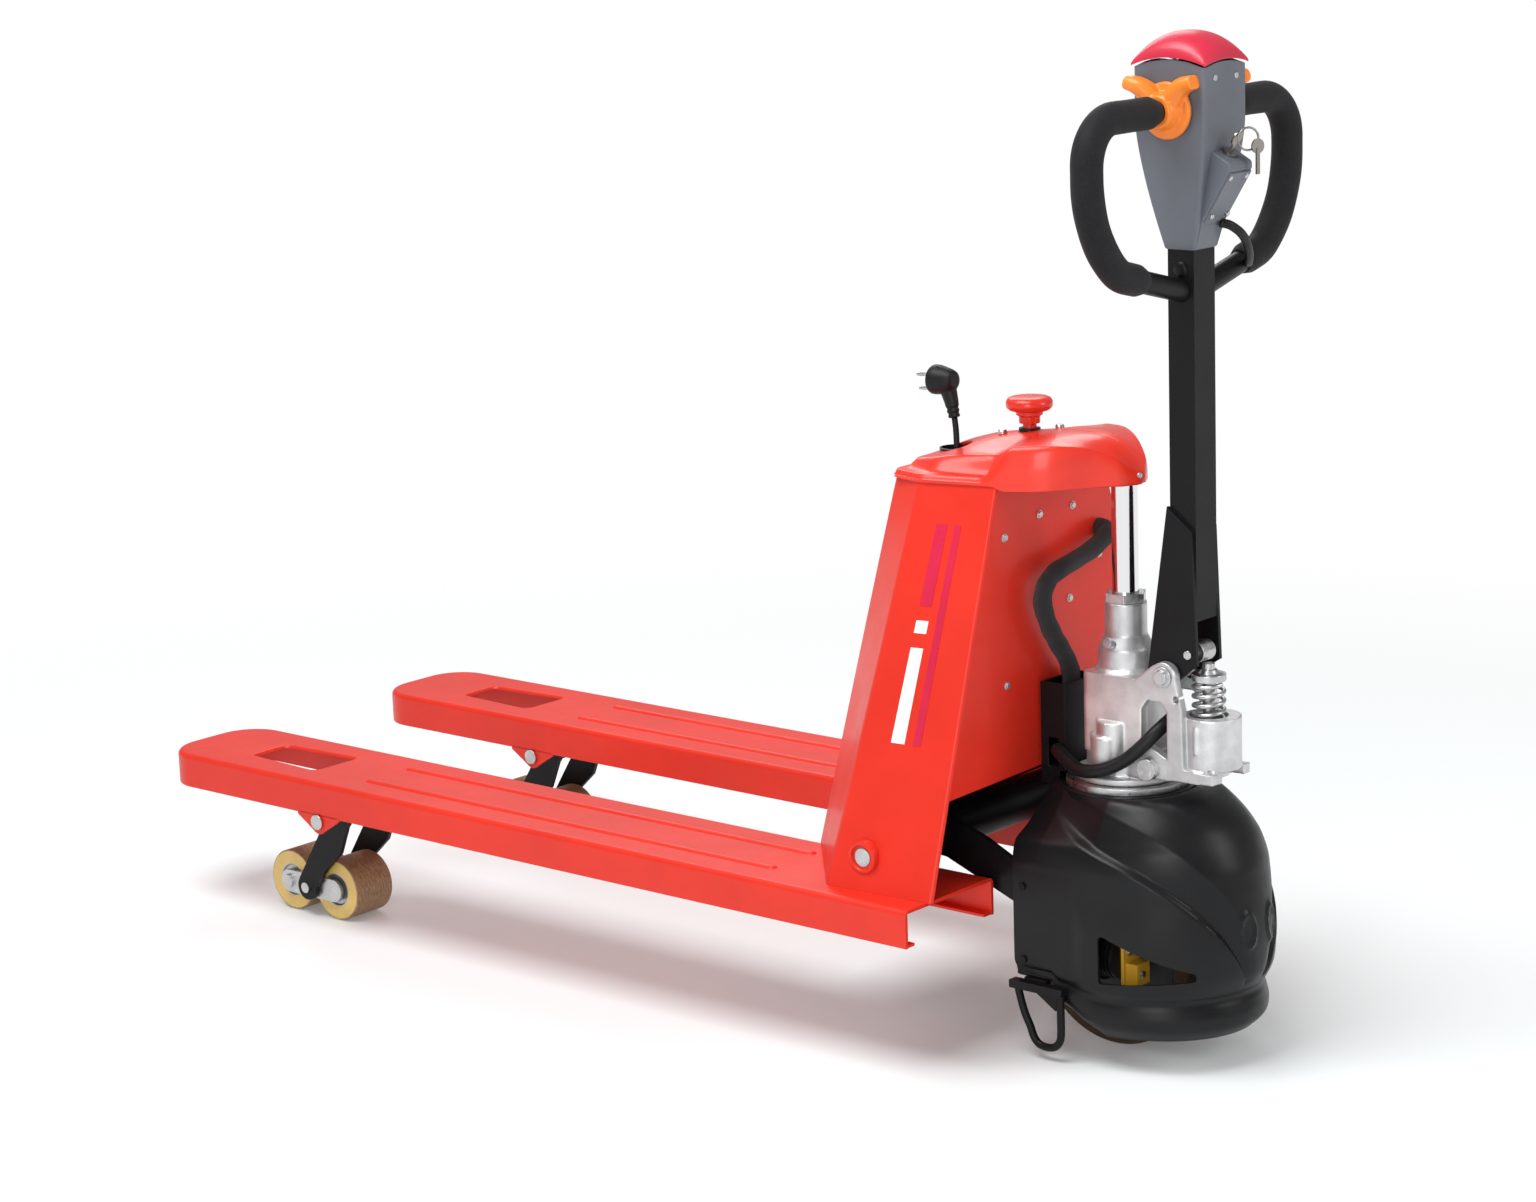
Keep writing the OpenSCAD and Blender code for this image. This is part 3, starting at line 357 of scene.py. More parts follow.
mats["cable"] = plastic("cable", (0.007, 0.007, 0.008), 0.42, grain=0.2, shine=0.25)
mats["black_plastic"] = plastic("black_plastic", (0.006, 0.006, 0.007), 0.34, grain=0.10, scale=1200,
    shine=0.25)
mats["steel"] = steel()
LEAD = 3.5
turns = np.linspace(0, 6, 6 * 18 + 1)
phi = -2 * np.pi * turns
coil_reach = 42 + 7.1 * np.cos(np.pi * turns / 2)
coil_z = 601.5 + 7.1 * (ease(turns, 1.8, 2.2) + ease(turns, 3.8, 4.2))
coil = np.stack([-195 + coil_reach * np.cos(phi), -3 + coil_reach * np.sin(phi), coil_z], 1)
into = curve_through([(-156, 47, 572), (-156, 46.5, 580), (-155, 42, 590), (-151.5, 28, 598),
    (-147, 12, 601.3), tuple(coil[0])], 4)
out = curve_through([tuple(coil[-1]), (-162, -21, 617), (-171, -36, 620.5), (-185, -43.5, 627.5),
    (-195.5, -45, 638), (-200, -45, 650),
                     (-200, -45, 664), (-201.5, -43.5, 680), (-204.5, -40.5, 696), (-209, -37, 709)], 4)
lead_path = place(np.vstack([into[:-1], coil, out[1:]]))
lead_curve = bpy.data.curves.new("charger_lead", "CURVE")
lead_curve.dimensions, lead_curve.bevel_depth, lead_curve.bevel_resolution = "3D", LEAD / 1000, 4
lead_curve.use_fill_caps = True
sp = lead_curve.splines.new("POLY")
sp.points.add(len(lead_path) - 1)
sp.points.foreach_set("co", np.hstack([lead_path, np.ones((len(lead_path), 1))]).ravel())
lead = bpy.data.objects.new("charger_lead", lead_curve)
scene.collection.objects.link(lead)
finish_piece(lead, "charger_cord", replaces=("charger_coil",))


# the plug's own frame: its foot on the lead's end, leaning 12 degrees back
def in_plug(v):
    x, y, z = np.asarray(v, float).T
    c, s = math.cos(math.radians(12)), math.sin(math.radians(12))
    return np.stack([x * c - z * s - 209, y - 37, x * s + z * c + 709], 1)


neck_z = np.array([0, 1, 3, 4, 6, 7, 9, 10, 12, 13, 18, 28, 38, 46])
neck_r = np.array([5.2, 6.4, 6.4, 5.6, 5.8, 6.8, 6.8, 6.0, 6.2, 7.2, 7.6, 8.6, 9.8, 8.0])
ang = np.linspace(0, 2 * np.pi, 40, endpoint=False)
neck = loft([np.stack([r * 1.15 * np.cos(ang) - 0.12 * max(z - 20, 0), r * 0.95 * np.sin(ang),
    0 * ang + z], 1) for z, r in zip(neck_z, neck_r)])
body_h = np.array([-15, -13, -8, 0, 8, 14, 16, 17])
body_r = np.array([8, 11.5, 13.5, 15.5, 17.2, 17.2, 16, 14.5])
c78, s78 = math.cos(math.radians(78)), math.sin(math.radians(78))
disc = [np.stack([-4 + r * np.cos(ang) * c78 - h * s78, r * np.sin(ang),
    44 + r * np.cos(ang) * s78 + h * c78], 1) for h, r in zip(body_h, body_r)]
plug_shape = join(neck, loft(disc))
plug = fuse(solid("plug_body", (in_plug(plug_shape[0]), plug_shape[1])), 0.8, 4)
done(plug, "charger_plug", angle=60)
pins = []
for z in (36, 52):
    p = np.linspace((-19, 0, z + 1.5), (-42, 0, z + 4), 5)
    pins.append(tube(p, [2.4, 2.4, 2.4, 2.4, 1.6], (0, 1, 0), 20))
pin_shape = join(*pins)
plug_pins = done(solid("plug_pins", (in_plug(pin_shape[0]), pin_shape[1])), None, "steel", "chassis")
made |= {"charger_cord", "charger_coil", "charger_plug"}

# ---- forks ----
# Each fork is a channel folded from 4 mm plate with its nose pressed round, a window for the
# rollers with its rim pressed down, two long pressed ribs, and inward lips along its foot.


# sprayed or powder-coated steel: orange peel, faint cloudiness, paler edges that are part rubbed wear and
# part painted highlight
def paint(name, color, rough, coat=0.0, peel=0.12, worn=(0.5, 0.5, 0.5), rub_and_highlight=0.25, shine=0.5):
    m = Material(name, color, rough, coat=coat, **{"Specular IOR Level": shine})
    cloud = m.noise(6, 3, 0.6)
    # the paler worn colour along the edges stands for rubbed paint and also for a painted edge highlight
    edge = (m.edges(0.0016).step(0.02, 0.25) * m.noise(90, 3, 0.7).step(0.45, 0.62)) * rub_and_highlight
    base = m.mix(cloud.step(0.3, 0.7), tint(color, 0.93), tint(color, 1.05))
    m.set(**{"Base Color": m.mix(edge, base, worn),
        "Roughness": m.noise(14, 4, 0.65).step(0.2, 0.9) * 0.14 + (rough - 0.05)})
    if coat:
        m.set(**{"Coat Roughness": 0.08})
    return m.bump(m.noise(420, 2, 0.5), peel, 0.0006)


# each corner of an outline becomes n points on an arc of that radius that touches both its sides
def rounded(points, radius, n=7):
    p = np.asarray(points, float)
    a, b = unit(np.roll(p, 1, 0) - p), unit(np.roll(p, -1, 0) - p)
    half = np.arccos(np.clip((a * b).sum(1, keepdims=True), -1, 1)) / 2
    r = np.broadcast_to(radius, len(p))[:, None]
    c = p + unit(a + b) * r / np.sin(half)
    u, v = p + a * r / np.tan(half) - c, p + b * r / np.tan(half) - c
    turn, t = (np.pi - 2 * half)[:, None], np.linspace(0, 1, n)[None, :, None]
    return (c[:, None] + (np.sin((1 - t) * turn) * u[:, None] + np.sin(t * turn) * v[:,
        None]) / np.sin(turn)).reshape(-1, 2)


# an outline in X and Z between two Y values
def slab(outline, y0, y1):
    o = np.asarray(outline, float)
    return loft([np.insert(o, 1, y, axis=1) for y in (y0, y1)])


# takes the tools' shapes out of a solid, or adds them
def cut(ob, *tools, how="DIFFERENCE"):
    made = [solid("tool", t) for t in tools]
    for t in made:
        m = ob.modifiers.new("cut", "BOOLEAN")
        m.object, m.operation, m.solver = t, how, "EXACT"
    bpy.context.view_layer.update()
    bake(ob)
    for t in made:
        bpy.data.objects.remove(t)
    return ob


RED = (0.70, 0.026, 0.011)
# the pale pink edge colour is part rubbed paint, part painted highlight
mats["red_paint"] = paint("red_paint", RED, 0.40, coat=0.08, peel=0.08, worn=(0.70, 0.14, 0.09), rub_and_highlight=0.3,
    shine=0.3)
TIP, END, TOP, FOOT = -1375.0, -107.0, 200.0, 156.0


def fork_plan(inset, w=80.0, r=55.0):
    c = r - inset
    return rounded([(TIP + inset, -w + inset), (END, -w + inset), (END, w - inset),
        (TIP + inset, w - inset)],
                   [max(c, 6), 0.02, 0.02, max(c, 6)], 14)


edge = np.radians(np.linspace(0, 90, 7))
fork_skin = stack([(FOOT, fork_plan(0.6)), (FOOT + 0.8, fork_plan(0))]
                  + [(TOP - 7 + 7 * np.sin(a), fork_plan(7 - 7 * np.cos(a))) for a in edge])
hollow = stack([(FOOT - 1, fork_plan(4)), (TOP - 10, fork_plan(4)), (TOP - 5, fork_plan(7)),
    (TOP - 4, fork_plan(10))])
mouth = slab([(END - 9, FOOT - 1), (END + 2, FOOT - 1), (END + 2, TOP - 4), (END - 9, TOP - 4)], -76, 76)


def window_ring(z, g):
    x0, x1 = TIP + 127 - g, TIP + 257 + g
    return z, rounded([(x0, -29 - g), (x1, -37 - g), (x1, 37 + g), (x0, 29 + g)], 9 + g, 8)


window = stack([window_ring(TOP - 12, 0), window_ring(TOP - 5, 0), window_ring(TOP - 2.5, 0.6),
    window_ring(TOP - 0.8, 2.2), window_ring(TOP + 1, 5)])
slot = slab([(-257, TOP - 20), (-147, TOP - 20), (-147, TOP + 20), (-257, TOP + 20)], -20, 20)


def rib(y, g):
    return rounded([(TIP + 353 + g, y - 7 + g), (TIP + 1042 - g, y - 7 + g), (TIP + 1042 - g, y + 7 - g),
        (TIP + 353 + g, y + 7 - g)], 6.8 - g, 8)


ribs = [stack([(TOP - 0.5, rib(y, 0)), (TOP + 0.2, rib(y, 0.3)), (TOP + 1.3, rib(y, 1.6)),
    (TOP + 2.3, rib(y, 3.2)), (TOP + 2.9, rib(y, 5)), (TOP + 3, rib(y, 6.4))]) for y in (-35, 35)]
lips = [slab([(TIP + 420, FOOT), (END - 1, FOOT), (END - 1, FOOT + 3.5), (TIP + 420, FOOT + 3.5)],
    *sorted((s * 63, s * 78))) for s in (-1, 1)]
AZ, AR = 148.0, -1070.0
tab = rounded([(AR - 46, FOOT + 2), (AR - 15, AZ - 9), (AR, AZ - 19), (AR + 15, AZ - 9),
    (AR + 46, FOOT + 2)], [3, 9, 12, 9, 3], 6)


def moved(shape, dy):
    return shape[0] + (0, dy, 0), shape[1]


for side, name in ((-1, "fork_left"), (1, "fork_right")):
    mid = side * 195.0
    ob = solid(name + "_body", moved(fork_skin, mid))
    cut(ob, moved(hollow, mid), moved(mouth, mid), moved(window, mid), moved(slot, mid))
    done(ob, name, bevel=0.5, angle=50, segments=2)
    extra = join(*[moved(r, mid) for r in ribs], *[moved(r, mid) for r in lips],
                 *[moved(slab(tab, *sorted((s * 76, s * 80))), mid) for s in (-1, 1)])
    done(solid(name + "_ribs", extra), None, "red_paint", "chassis", bevel=0.5, angle=50, segments=2)
made |= {"fork_left", "fork_right"}

# ---- battery box ----
# Folded and welded sheet steel with softly rounded folds, open to the drive side at its foot,
# with a turned boss on each side for the crank's pin. Plain two-colour bars are on each flank.


# turned shape: profile [[radius, height], ...] in mm round an axis through at, both ends closed
def lathe(profile, at, axis="z", n=64):
    p = np.asarray(profile, float) / 1000
    t = np.linspace(0, 2 * np.pi, n, endpoint=False)
    r, h = p[:, :1], p[:, 1:]
    c, s, h = r * np.cos(t), r * np.sin(t), h + 0 * t
    xyz = {"z": (c, s, h), "y": (s, h, c), "x": (h, c, s)}[axis]
    v = np.stack(xyz, -1).reshape(-1, 3) + np.asarray(at, float)
    f = grid_faces(len(p), n, wrap_cols=True)
    f.append(list(range(n))[::-1])
    f.append([(len(p) - 1) * n + k for k in range(n)])
    return v, f


def box_plan(z, i, r=9.0):
    k = (z - 200) / 453
    foot = np.array([(-363 + i, 115 - i / 2), (-244 + i / 2, 247 - i), (-100 - i, 238 - i)])
    rim = np.array([(-242 + i, 105 - i), (-191 + i / 2, 124 - i), (-100 - i, 102 - i)])
    p = foot * (1 - k) + rim * k
    return z, rounded(np.vstack([p, (p * (1, -1))[::-1]]), [r, r + 6, r * 0.5, r * 0.5, r + 6, r], 8)


box_z = np.linspace(200, 650, 31)
box = solid("box_body", stack([box_plan(z, 0) for z in box_z] + [box_plan(652.6, 1.2)]))
floor_cut = stack([(199, [(-160, -237), (-90, -233), (-90, 233), (-160, 237)]),
    (310, [(-160, -206), (-90, -200), (-90, 200), (-160, 206)])])
cut(box, stack([box_plan(z, 4, 6) for z in np.linspace(199, 660, 31)]), floor_cut)
done(box, "battery_box", bevel=0.5, angle=50, segments=2)
boss = [(19.5, 0), (19.5, 8), (18.5, 10), (16.8, 10.6), (15.0, 10.6), (14.2, 9.8), (13.6, 7.5), (11.2, 7.5)]
for s in (-1, 1):
    p = [(r, h) for r, h in boss] + [(11.1, 0)]
    ob = solid("crank_boss_" + "lr"[s > 0],
        lathe([(r, s * (230 + h)) for r, h in p], place((-197, 0, 238)), "y"), True)
    done(ob, None, "red_paint", "chassis", angle=35)


# plain bars on a flank: points on the flank between its two folds, at u across and height z
def on_flank(u, z, side, out=0.5):
    k = (z - 200) / 453
    a = np.array([-244, 247]) * (1 - k) + np.array([-191, 124]) * k
    b = np.array([-100, 238]) * (1 - k) + np.array([-100, 102]) * k
    p = a * (1 - u) + b * u
    return p[0], side * (p[1] + out), z


for side in (-1, 1):
    for name, mat, rows in (("bar_white", "white_vinyl", ((0.33, 0.47, 365, 470), (0.33, 0.47, 486, 500))),
                            ("bar_crimson", "crimson_vinyl",
                            ((0.33, 0.47, 516, 606), (0.56, 0.64, 365, 606)))):
        if mat not in mats:
            mats[mat] = plastic(mat, (0.86, 0.86, 0.86) if "white" in mat else (0.60, 0.012, 0.055), 0.3,
                grain=0.04, scale=800)
        parts = []
        for u0, u1, z0, z1 in rows:
            zz = np.linspace(z0, z1, 9)
            ring = [[on_flank(u0, z, side), on_flank(u1, z, side), on_flank(u1, z, side, -1),
                on_flank(u0, z, side, -1)] for z in zz]
            parts.append(loft(ring))
        done(solid(name + "_" + "lr"[side > 0], join(*parts)), None, mat, "chassis", angle=30)
made |= {"battery_box"}

# ---- top cover ----
# One moulding: a low tray with a rim over the box, a plateau with the lead's cup, and a tall
# hood with upright sides that runs forward to a rounded nose over the lift rod.
mats["red_plastic"] = plastic("red_plastic", (0.72, 0.028, 0.012), 0.30, grain=0.05, scale=700, coat=0.15,
    shine=0.4)
half_plan = [(-244, 112), (-191, 127), (-100, 105), (-52, 84), (-10, 46), (14, 26), (26, 4)]


def cover_plan(i):
    p = np.array(half_plan)
    full = np.vstack([p, (p * (1, -1))[::-1]])
    r = [16, 30, 26, 90, 60, 22, 4.0, 4.0, 22, 60, 90, 26, 30, 16]
    return even(rounded(full, r, 10), 300)


# n points at equal steps round a closed outline
def even(o, n):
    c = np.vstack([o, o[:1]])
    t = np.concatenate([[0], np.linalg.norm(np.diff(c, axis=0), axis=1).cumsum()])
    at = np.linspace(0, t[-1], n, endpoint=False)
    return np.stack([np.interp(at, t, c[:, 0]), np.interp(at, t, c[:, 1])], 1)


rim_line = cover_plan(0)
spine = np.stack([np.clip(rim_line[:, 0], -200, -8), 0 * rim_line[:, 1]], 1)


crown = curve_through([(-260, 15), (-250, 18), (-205, 29), (-173, 37), (-130, 43), (-88, 47), (-55, 48.5),
    (-26, 46.5), (-8, 41.5), (8, 32), (20, 19), (28, 8)], 8)


def crest(x):
    return np.interp(x, crown[:, 0], crown[:, 1])


def cover_height(x, s, low):
    hood = ease(x, -122, -86)
    tray = 5.5 * ease(s, 0, 0.04) + (crest(x) - 5.5) * (0.55 * ease(s, 0.13, 0.3) + 0.45 * ease(s, 0.2,
        1.0))
    tall = (crest(x) - 6) * np.clip(1 - (1 - np.clip(s / 0.13, 0, 1))**3.0, 0, 1)**0.42 + 6 * ease(s, 0.05,
        0.9)
    return 653 + (1 - hood) * tray + hood * tall - low


steps_in = np.concatenate([[0, 0.001, 0.003, 0.006, 0.01, 0.016, 0.024, 0.034, 0.046],
    np.linspace(0.06, 0.4, 24), np.linspace(0.42, 0.985, 22)])


def cover_rings(rim, low):
    out = []
    for s in steps_in:
        p = rim * (1 - s) + spine * s
        out.append(np.column_stack([p, cover_height(p[:, 0], np.full(len(p), s), low)]))
    return out


hem_z = 650 - 5 * ease(rim_line[:, 0], -106, -92) + 5 * ease(rim_line[:, 0], -80, 26)
rim_in = rim_line + 3 * unit(spine - rim_line)
outer_rings = [np.column_stack([rim_line, hem_z]), np.column_stack([rim_line, (hem_z + 653) / 2]),
    *cover_rings(rim_line, 0)]
inner_rings = [np.column_stack([rim_in, hem_z]), *cover_rings(rim_in, 3.2)]
inner_rings[1][:, 2] = np.maximum(inner_rings[1][:, 2], hem_z + 0.4)
cover = solid("cover_body", loft(outer_rings[::-1] + inner_rings))
well_xy = np.stack([-200 + 19 * np.cos(ang), -45 + 17 * np.sin(ang)], 1)
well_lo = np.stack([-200 + 16 * np.cos(ang), -45 + 14 * np.sin(ang)], 1)
cut(cover, stack([(640, well_xy), (720, well_xy)]))
hole = np.stack([-130 + 12.4 * np.cos(ang), 12.4 * np.sin(ang)], 1)
cut(cover, stack([(640, hole), (760, hole)]))
done(cover, "top_cover", bevel=0.5, angle=50, segments=2)
cup = loft([np.insert(o, 2, z, axis=1) for z,
    o in ((652, well_lo), (676, well_xy), (677.2, well_xy),
    (676.8, (well_xy - (-200, -45)) * 1.1 + (-200, -45)),
            (651, (well_lo - (-200, -45)) * 1.2 + (-200, -45)))], closed=True)
base = stack([(650, well_lo), (652.4, well_lo)])
done(solid("cover_cup", join(cup, base)), None, "black_plastic", "chassis", angle=50)
made |= {"top_cover"}


# turned shape in mm: profile of radius and height round an upright axis at x, y
def turned(profile, x, y, n=48):
    p = np.asarray(profile, float)
    t = np.linspace(0, 2 * np.pi, n, endpoint=False)
    return loft([np.stack([x + r * np.cos(t), y + r * np.sin(t), h + 0 * t], 1) for r, h in p])


cover_studs = [turned([(3, z), (3, z + 4), (5.2, z + 4), (5.2, z + 6.6), (4, z + 8.2), (1, z + 8.6)], x, y,
    24)
               for x, y, z in ((-158, -14, 688), (-98, 14, 695))]
nose = [(3.2, 0), (3.2, 2.2), (2.4, 3.0), (0.8, 3.2)]
done(solid("cover_studs", join(*cover_studs)), None, "steel", "chassis", angle=35)
done(solid("nose_screw", lathe([(r, 24 + h) for r, h in nose], place((0, -6, 659)), "x", 24), True), None,
    "steel", "chassis", angle=35)

# ---- crosshead and lift rod ----
# A welded plate under the hood carries the box on the chromed rod's end.


def chrome(name, color=(0.82, 0.82, 0.84), rough=0.07):
    m = Material(name, color, rough, metal=1.0)
    fine = m.noise(60, 2, 0.5, stretch=(1, 1, 40))
    m.set(Roughness=fine.step(0.3, 0.8) * 0.10 + rough)
    return m.bump(fine, 0.03, 0.0003)


mats["chrome"] = chrome("chrome")
seat = [(-96, 96), (-52, 78), (-12, 41), (12, 21), (21, 4)]
seat = rounded(np.array(seat + [(x, -y) for x, y in seat[::-1]]), 3.5, 5)
done(solid("crosshead_plate", stack([(647.5, seat), (653, seat)])), "crosshead", "red_paint", angle=40)
rod_foot = float(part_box("piston_rod")[0][2]) * 1000
done(solid("lift_rod", turned([(14.95, rod_foot), (14.95, 649)], 0, 0, 96)), "piston_rod", angle=40)
made |= {"crosshead", "piston_rod"}

# ---- emergency button ----
# A gloss red mushroom button with a rolled rim on a red stem, in a black collar.
knob = [(7.9, 668), (7.9, 704.4), (11.8, 704.4), (12.2, 706), (12.2, 712), (15.4, 714), (15.4, 718),
    (19, 718.3), (23, 719.5), (26, 722), (27, 725.5),
        (26.6, 729.5), (24.5, 732.8), (21, 734.3), (14, 734.9), (5, 735)]
done(solid("estop_knob", turned(knob, -130, 0, 64)), "estop_button", angle=38)
made |= {"estop_button"}

# ---- drive cover ----
# A blow-moulded black shroud: flat side panels, a rounded shoulder, a band sunk between two
# sweeping creases, a groove above its rolled lip, and a triangular window on each side.
SECTIONS = [(38, 154, 108, 108, 108), (50, 166, 117, 116, 114), (62, 168, 120, 117, 114),
    (74, 165, 119, 117, 115), (84, 162, 117, 117, 116),
            (94, 168, 119.5, 119, 118), (110, 176, 120, 120, 119.5), (130, 179, 120, 120, 120), (150, 180,
            120, 120, 120), (175, 178, 120, 120, 120),
            (200, 174, 120, 120, 120), (217, 170.5, 120, 120, 120), (232, 167, 119.5, 120, 119.5),
            (250, 160, 115, 116, 113), (262, 154, 108, 103, 92), (276, 144, 99, 88, 72), (290, 129, 89, 76,
            54), (300, 112, 82, 70, 42), (304, 94, 77, 66, 34), (305, 82, 74, 64, 31)]
rows = curve_through(SECTIONS, 11)
side_x = np.linspace(-75, 30, 56)
arc_t = np.radians(np.linspace(-90, 90, 161))[1:]


def cover_row(z, a, b, b40, b75, inset):
    a, b, b40, b75 = a - inset, b - inset, b40 - inset, b75 - inset
    wide = np.interp(side_x, [-75, -40, 30], [b75, b40, b])
    left = np.stack([side_x, -wide], 1)
    front = np.stack([30 + (a - 30) * np.cos(arc_t), b * np.sin(arc_t)], 1)
    return np.vstack([left, front, (left * (1, -1))[:-1][::-1]])


def cover_skin(inset):
    out = []
    for z, *w in rows:
        p = cover_row(z, *w, inset)
        x, y = p.T
        foot = np.interp(x, [-80, -24, -16, -2, 14, 44, 200], [88, 88, 66, 60, 50, 38, 38])
        zz = np.where(z < 110, foot + (z - 38) / 72 * (110 - foot), z)
        # how far round the skin a point is: along the side, then round the nose
        round_x = np.where(x <= 30, x,
            30 + 150 * np.abs(np.arctan2(x - 30, np.abs(y) * 1.15 + 1e-6)) / (np.pi / 2) * 1.05)
        lower = np.interp(round_x, *knee.T)
        upper = np.interp(round_x, *brow.T)
        across = np.clip((zz - lower) / np.maximum(upper - lower, 4), 0, 1)
        reach = ease(round_x, -55, 25) * (1 - ease(round_x, 150, 186))
        dip = -8.0 * ease(zz - lower, -4, 4) * (1 - across)**0.8 * reach
        swell = 3.0 * ease(round_x, 4, 24) * (1 - ease(zz, 150, 205)) * ease(zz, 78,
            96) * (1 - ease(round_x, 60, 150))
        oval = np.sqrt(((np.abs(y) - 22) / 10)**2 + ((zz - 163) / 19)**2)
        ring = 2.2 * np.exp(-((oval - 1) / 0.22)**2) * (x > 60)
        nrm = unit(np.stack([np.where(x > 30, (x - 30) / 150, 0), y / 120], 1) + 1e-9)
        p = p + nrm * (dip + swell + ring)[:, None]
        out.append(np.column_stack([p, zz]))
    return np.array(out)


# the two creases: how far round the skin, and height
knee = curve_through([(-90, 300), (-60, 290), (-30, 276), (0, 263), (30, 252), (60, 239), (92, 217),
    (118, 193), (140, 166), (158, 134), (172, 100)], 6)
brow = curve_through([(-90, 318), (-60, 310), (-30, 303), (0, 297), (30, 291), (75, 277), (105, 258),
    (130, 232), (150, 203), (165, 172), (178, 135), (188, 100)], 6)
outer, inside = cover_skin(0), cover_skin(3.5)
inside[:, :, 2] -= 3.5 * ease(inside[:, :, 2], 240, 300)
wall_rings = np.concatenate([outer, inside[:, ::-1]], axis=1)
m, n = wall_rings.shape[:2]
caps = [[r * n + k, r * n + k + 1, r * n + n - 2 - k, r * n + n - 1 - k] for r in (0,
    m - 1) for k in range(n // 2 - 1)]
shroud = solid("shroud", (wall_rings.reshape(-1, 3), grid_faces(m, n, wrap_cols=True) + caps))
pane = rounded([(43, 103), (43, 161), (144, 121), (144, 112)], [4, 5, 4, 3], 6)
cut(shroud, slab(pane, -200, -60), slab(pane, 60, 200),
    slab([(-120, 262), (-40, 262), (-40, 330), (-120, 330)], -34.3, 34.3))
done(shroud, "drive_cover", angle=34)
made |= {"drive_cover"}

# ---- motor nose and bracket ----
# The motor's ribbed end cap, and the zinc-yellow plate and block that bolt it to the frame.
mats["black_paint"] = paint("black_paint", (0.006, 0.006, 0.007), 0.38, peel=0.15, worn=(0.06, 0.06, 0.06),
    shine=0.18)
mats["yellow_zinc"] = paint("yellow_zinc", (0.75, 0.42, 0.03), 0.38, worn=(0.5, 0.45, 0.3))
MY, MZ = -78.0, 126.0
ribs_r = [(24, 27.5), (24, 29), (27.5, 29.2), (27.5, 31.8), (24, 32), (24, 34), (27.5, 34.2), (27.5, 36.8),
    (24, 37), (24, 39), (27.5, 39.2), (27.5, 41.8), (24, 42), (24, 44), (27, 44.2), (27, 47), (25, 48)]
done(solid("motor_nose", lathe([(r, h) for r, h in ribs_r], place((0, MY, MZ)), "x"), True), None,
    "black_paint", "drive_head", angle=35)
plate = slab([(48, MZ - 34), (52, MZ - 34), (52, MZ + 22), (48, MZ + 22)], MY - 8, MY + 24)
block = slab([(51, MZ - 34), (67, MZ - 34), (67, MZ - 8), (51, MZ - 8)], MY - 3, MY + 22)
done(solid("motor_plate", join(plate, block)), "motor_bracket", bevel=1.0)
heads = join(lathe([(4, 0), (4, 2.6), (3.2, 3.2)], place((52, MY + 2, MZ + 4)), "x", 24),
    lathe([(4, 0), (4, 2.6), (3.2, 3.2)], place((67, MY + 6, MZ - 20)), "x", 24))
done(solid("motor_screws", heads, True), None, "steel", "drive_head", angle=35)
made |= {"motor_bracket"}

# ---- skid hoops ----
# Each is a 9 mm rod bent to a loop and welded under a short flat bar with a small gusset.
for s in (-1, 1):
    y = s * 124.0
    loop = curve_through([(-68, y, 84), (-66, y, 74), (-59, y, 52), (-51, y, 36), (-46, y, 24),
        (-39, y, 17), (-28, y, 15), (-17, y, 17.5), (-10, y, 25),
                          (-8, y, 36), (-8, y, 60), (-8, y, 84)], 6)
    bar = slab(rounded([(-76, 79), (-4, 79), (-2, 88.5), (-76, 88.5)], 1.2, 4), y - 6, y + 6)
    gusset = slab(rounded([(-48, 83), (-12, 83), (-12, 60)], 1.5, 4), y - 2.5, y + 2.5)
    foot = slab([(-60, 84), (-30, 84), (-30, 92), (-60, 92)], *sorted((s * 112, s * 122)))
    ob = solid("skid_" + "lr"[s > 0], join(tube(loop, 4.5, (0, 1, 0), 20), bar, gusset, foot))
    done(ob, *(("skid_hoops",) if s < 0 else (None, "black_paint", "carrier")), angle=40)
made |= {"skid_hoops"}

# ---- pump casting ----
# Sand-cast and blasted aluminium: the machined cylinder stands on the cast block, whose webs
# run forward to the pivot ears and the spring cup. Soft fillets where the walls meet.


# sand-cast aluminium, blasted and left bare: pitted grain and a patchy, cloudy tone
def cast_alloy():
    m = Material("cast_alloy", (0.62, 0.62, 0.63), 0.42, metal=0.85)
    grain = m.noise(650, 3, 0.65)
    pits = m.node("TexVoronoi", "Distance", Vector=m.at(), Scale=420.0)
    cloud = m.noise(18, 4, 0.6)
    m.set(**{"Base Color": m.mix(cloud.step(0.3, 0.75), (0.50, 0.50, 0.51), (0.78, 0.78, 0.78)),
             "Roughness": cloud.step(0.2, 0.8) * 0.16 + 0.36})
    return m.bump(grain + pits * 0.5, 0.25, 0.0006)


mats["cast_alloy"] = cast_alloy()
casting = bpy.data.objects.new("casting", nodes["pump_casting"].data.copy())
scene.collection.objects.link(casting)
boss_ring = [np.stack([-2 + (19 - g) * np.cos(ang), -36 + (19 - g) * np.sin(ang)], 1) for g in (0, 0, 1.5)]
extras = join(stack([(324, boss_ring[0]), (364, boss_ring[1]), (366, boss_ring[2])]),
              slab(rounded([(30, 322), (140, 326), (140, 337), (100, 340), (60, 330), (30, 334)], 3, 4),
              -38, -26),
              turned([(33.5, 408), (36, 410), (36, 417), (33.5, 419)], 0, 0, 64))
bm = bmesh.new()
bm.from_mesh(casting.data)
bmesh.ops.remove_doubles(bm, verts=bm.verts, dist=3e-6)
bm.to_mesh(casting.data)
extra = solid("extra", extras)
bm.from_mesh(extra.data)
bm.to_mesh(casting.data)
bm.free()
bpy.data.objects.remove(extra)
fuse(casting, 1.35, 5)
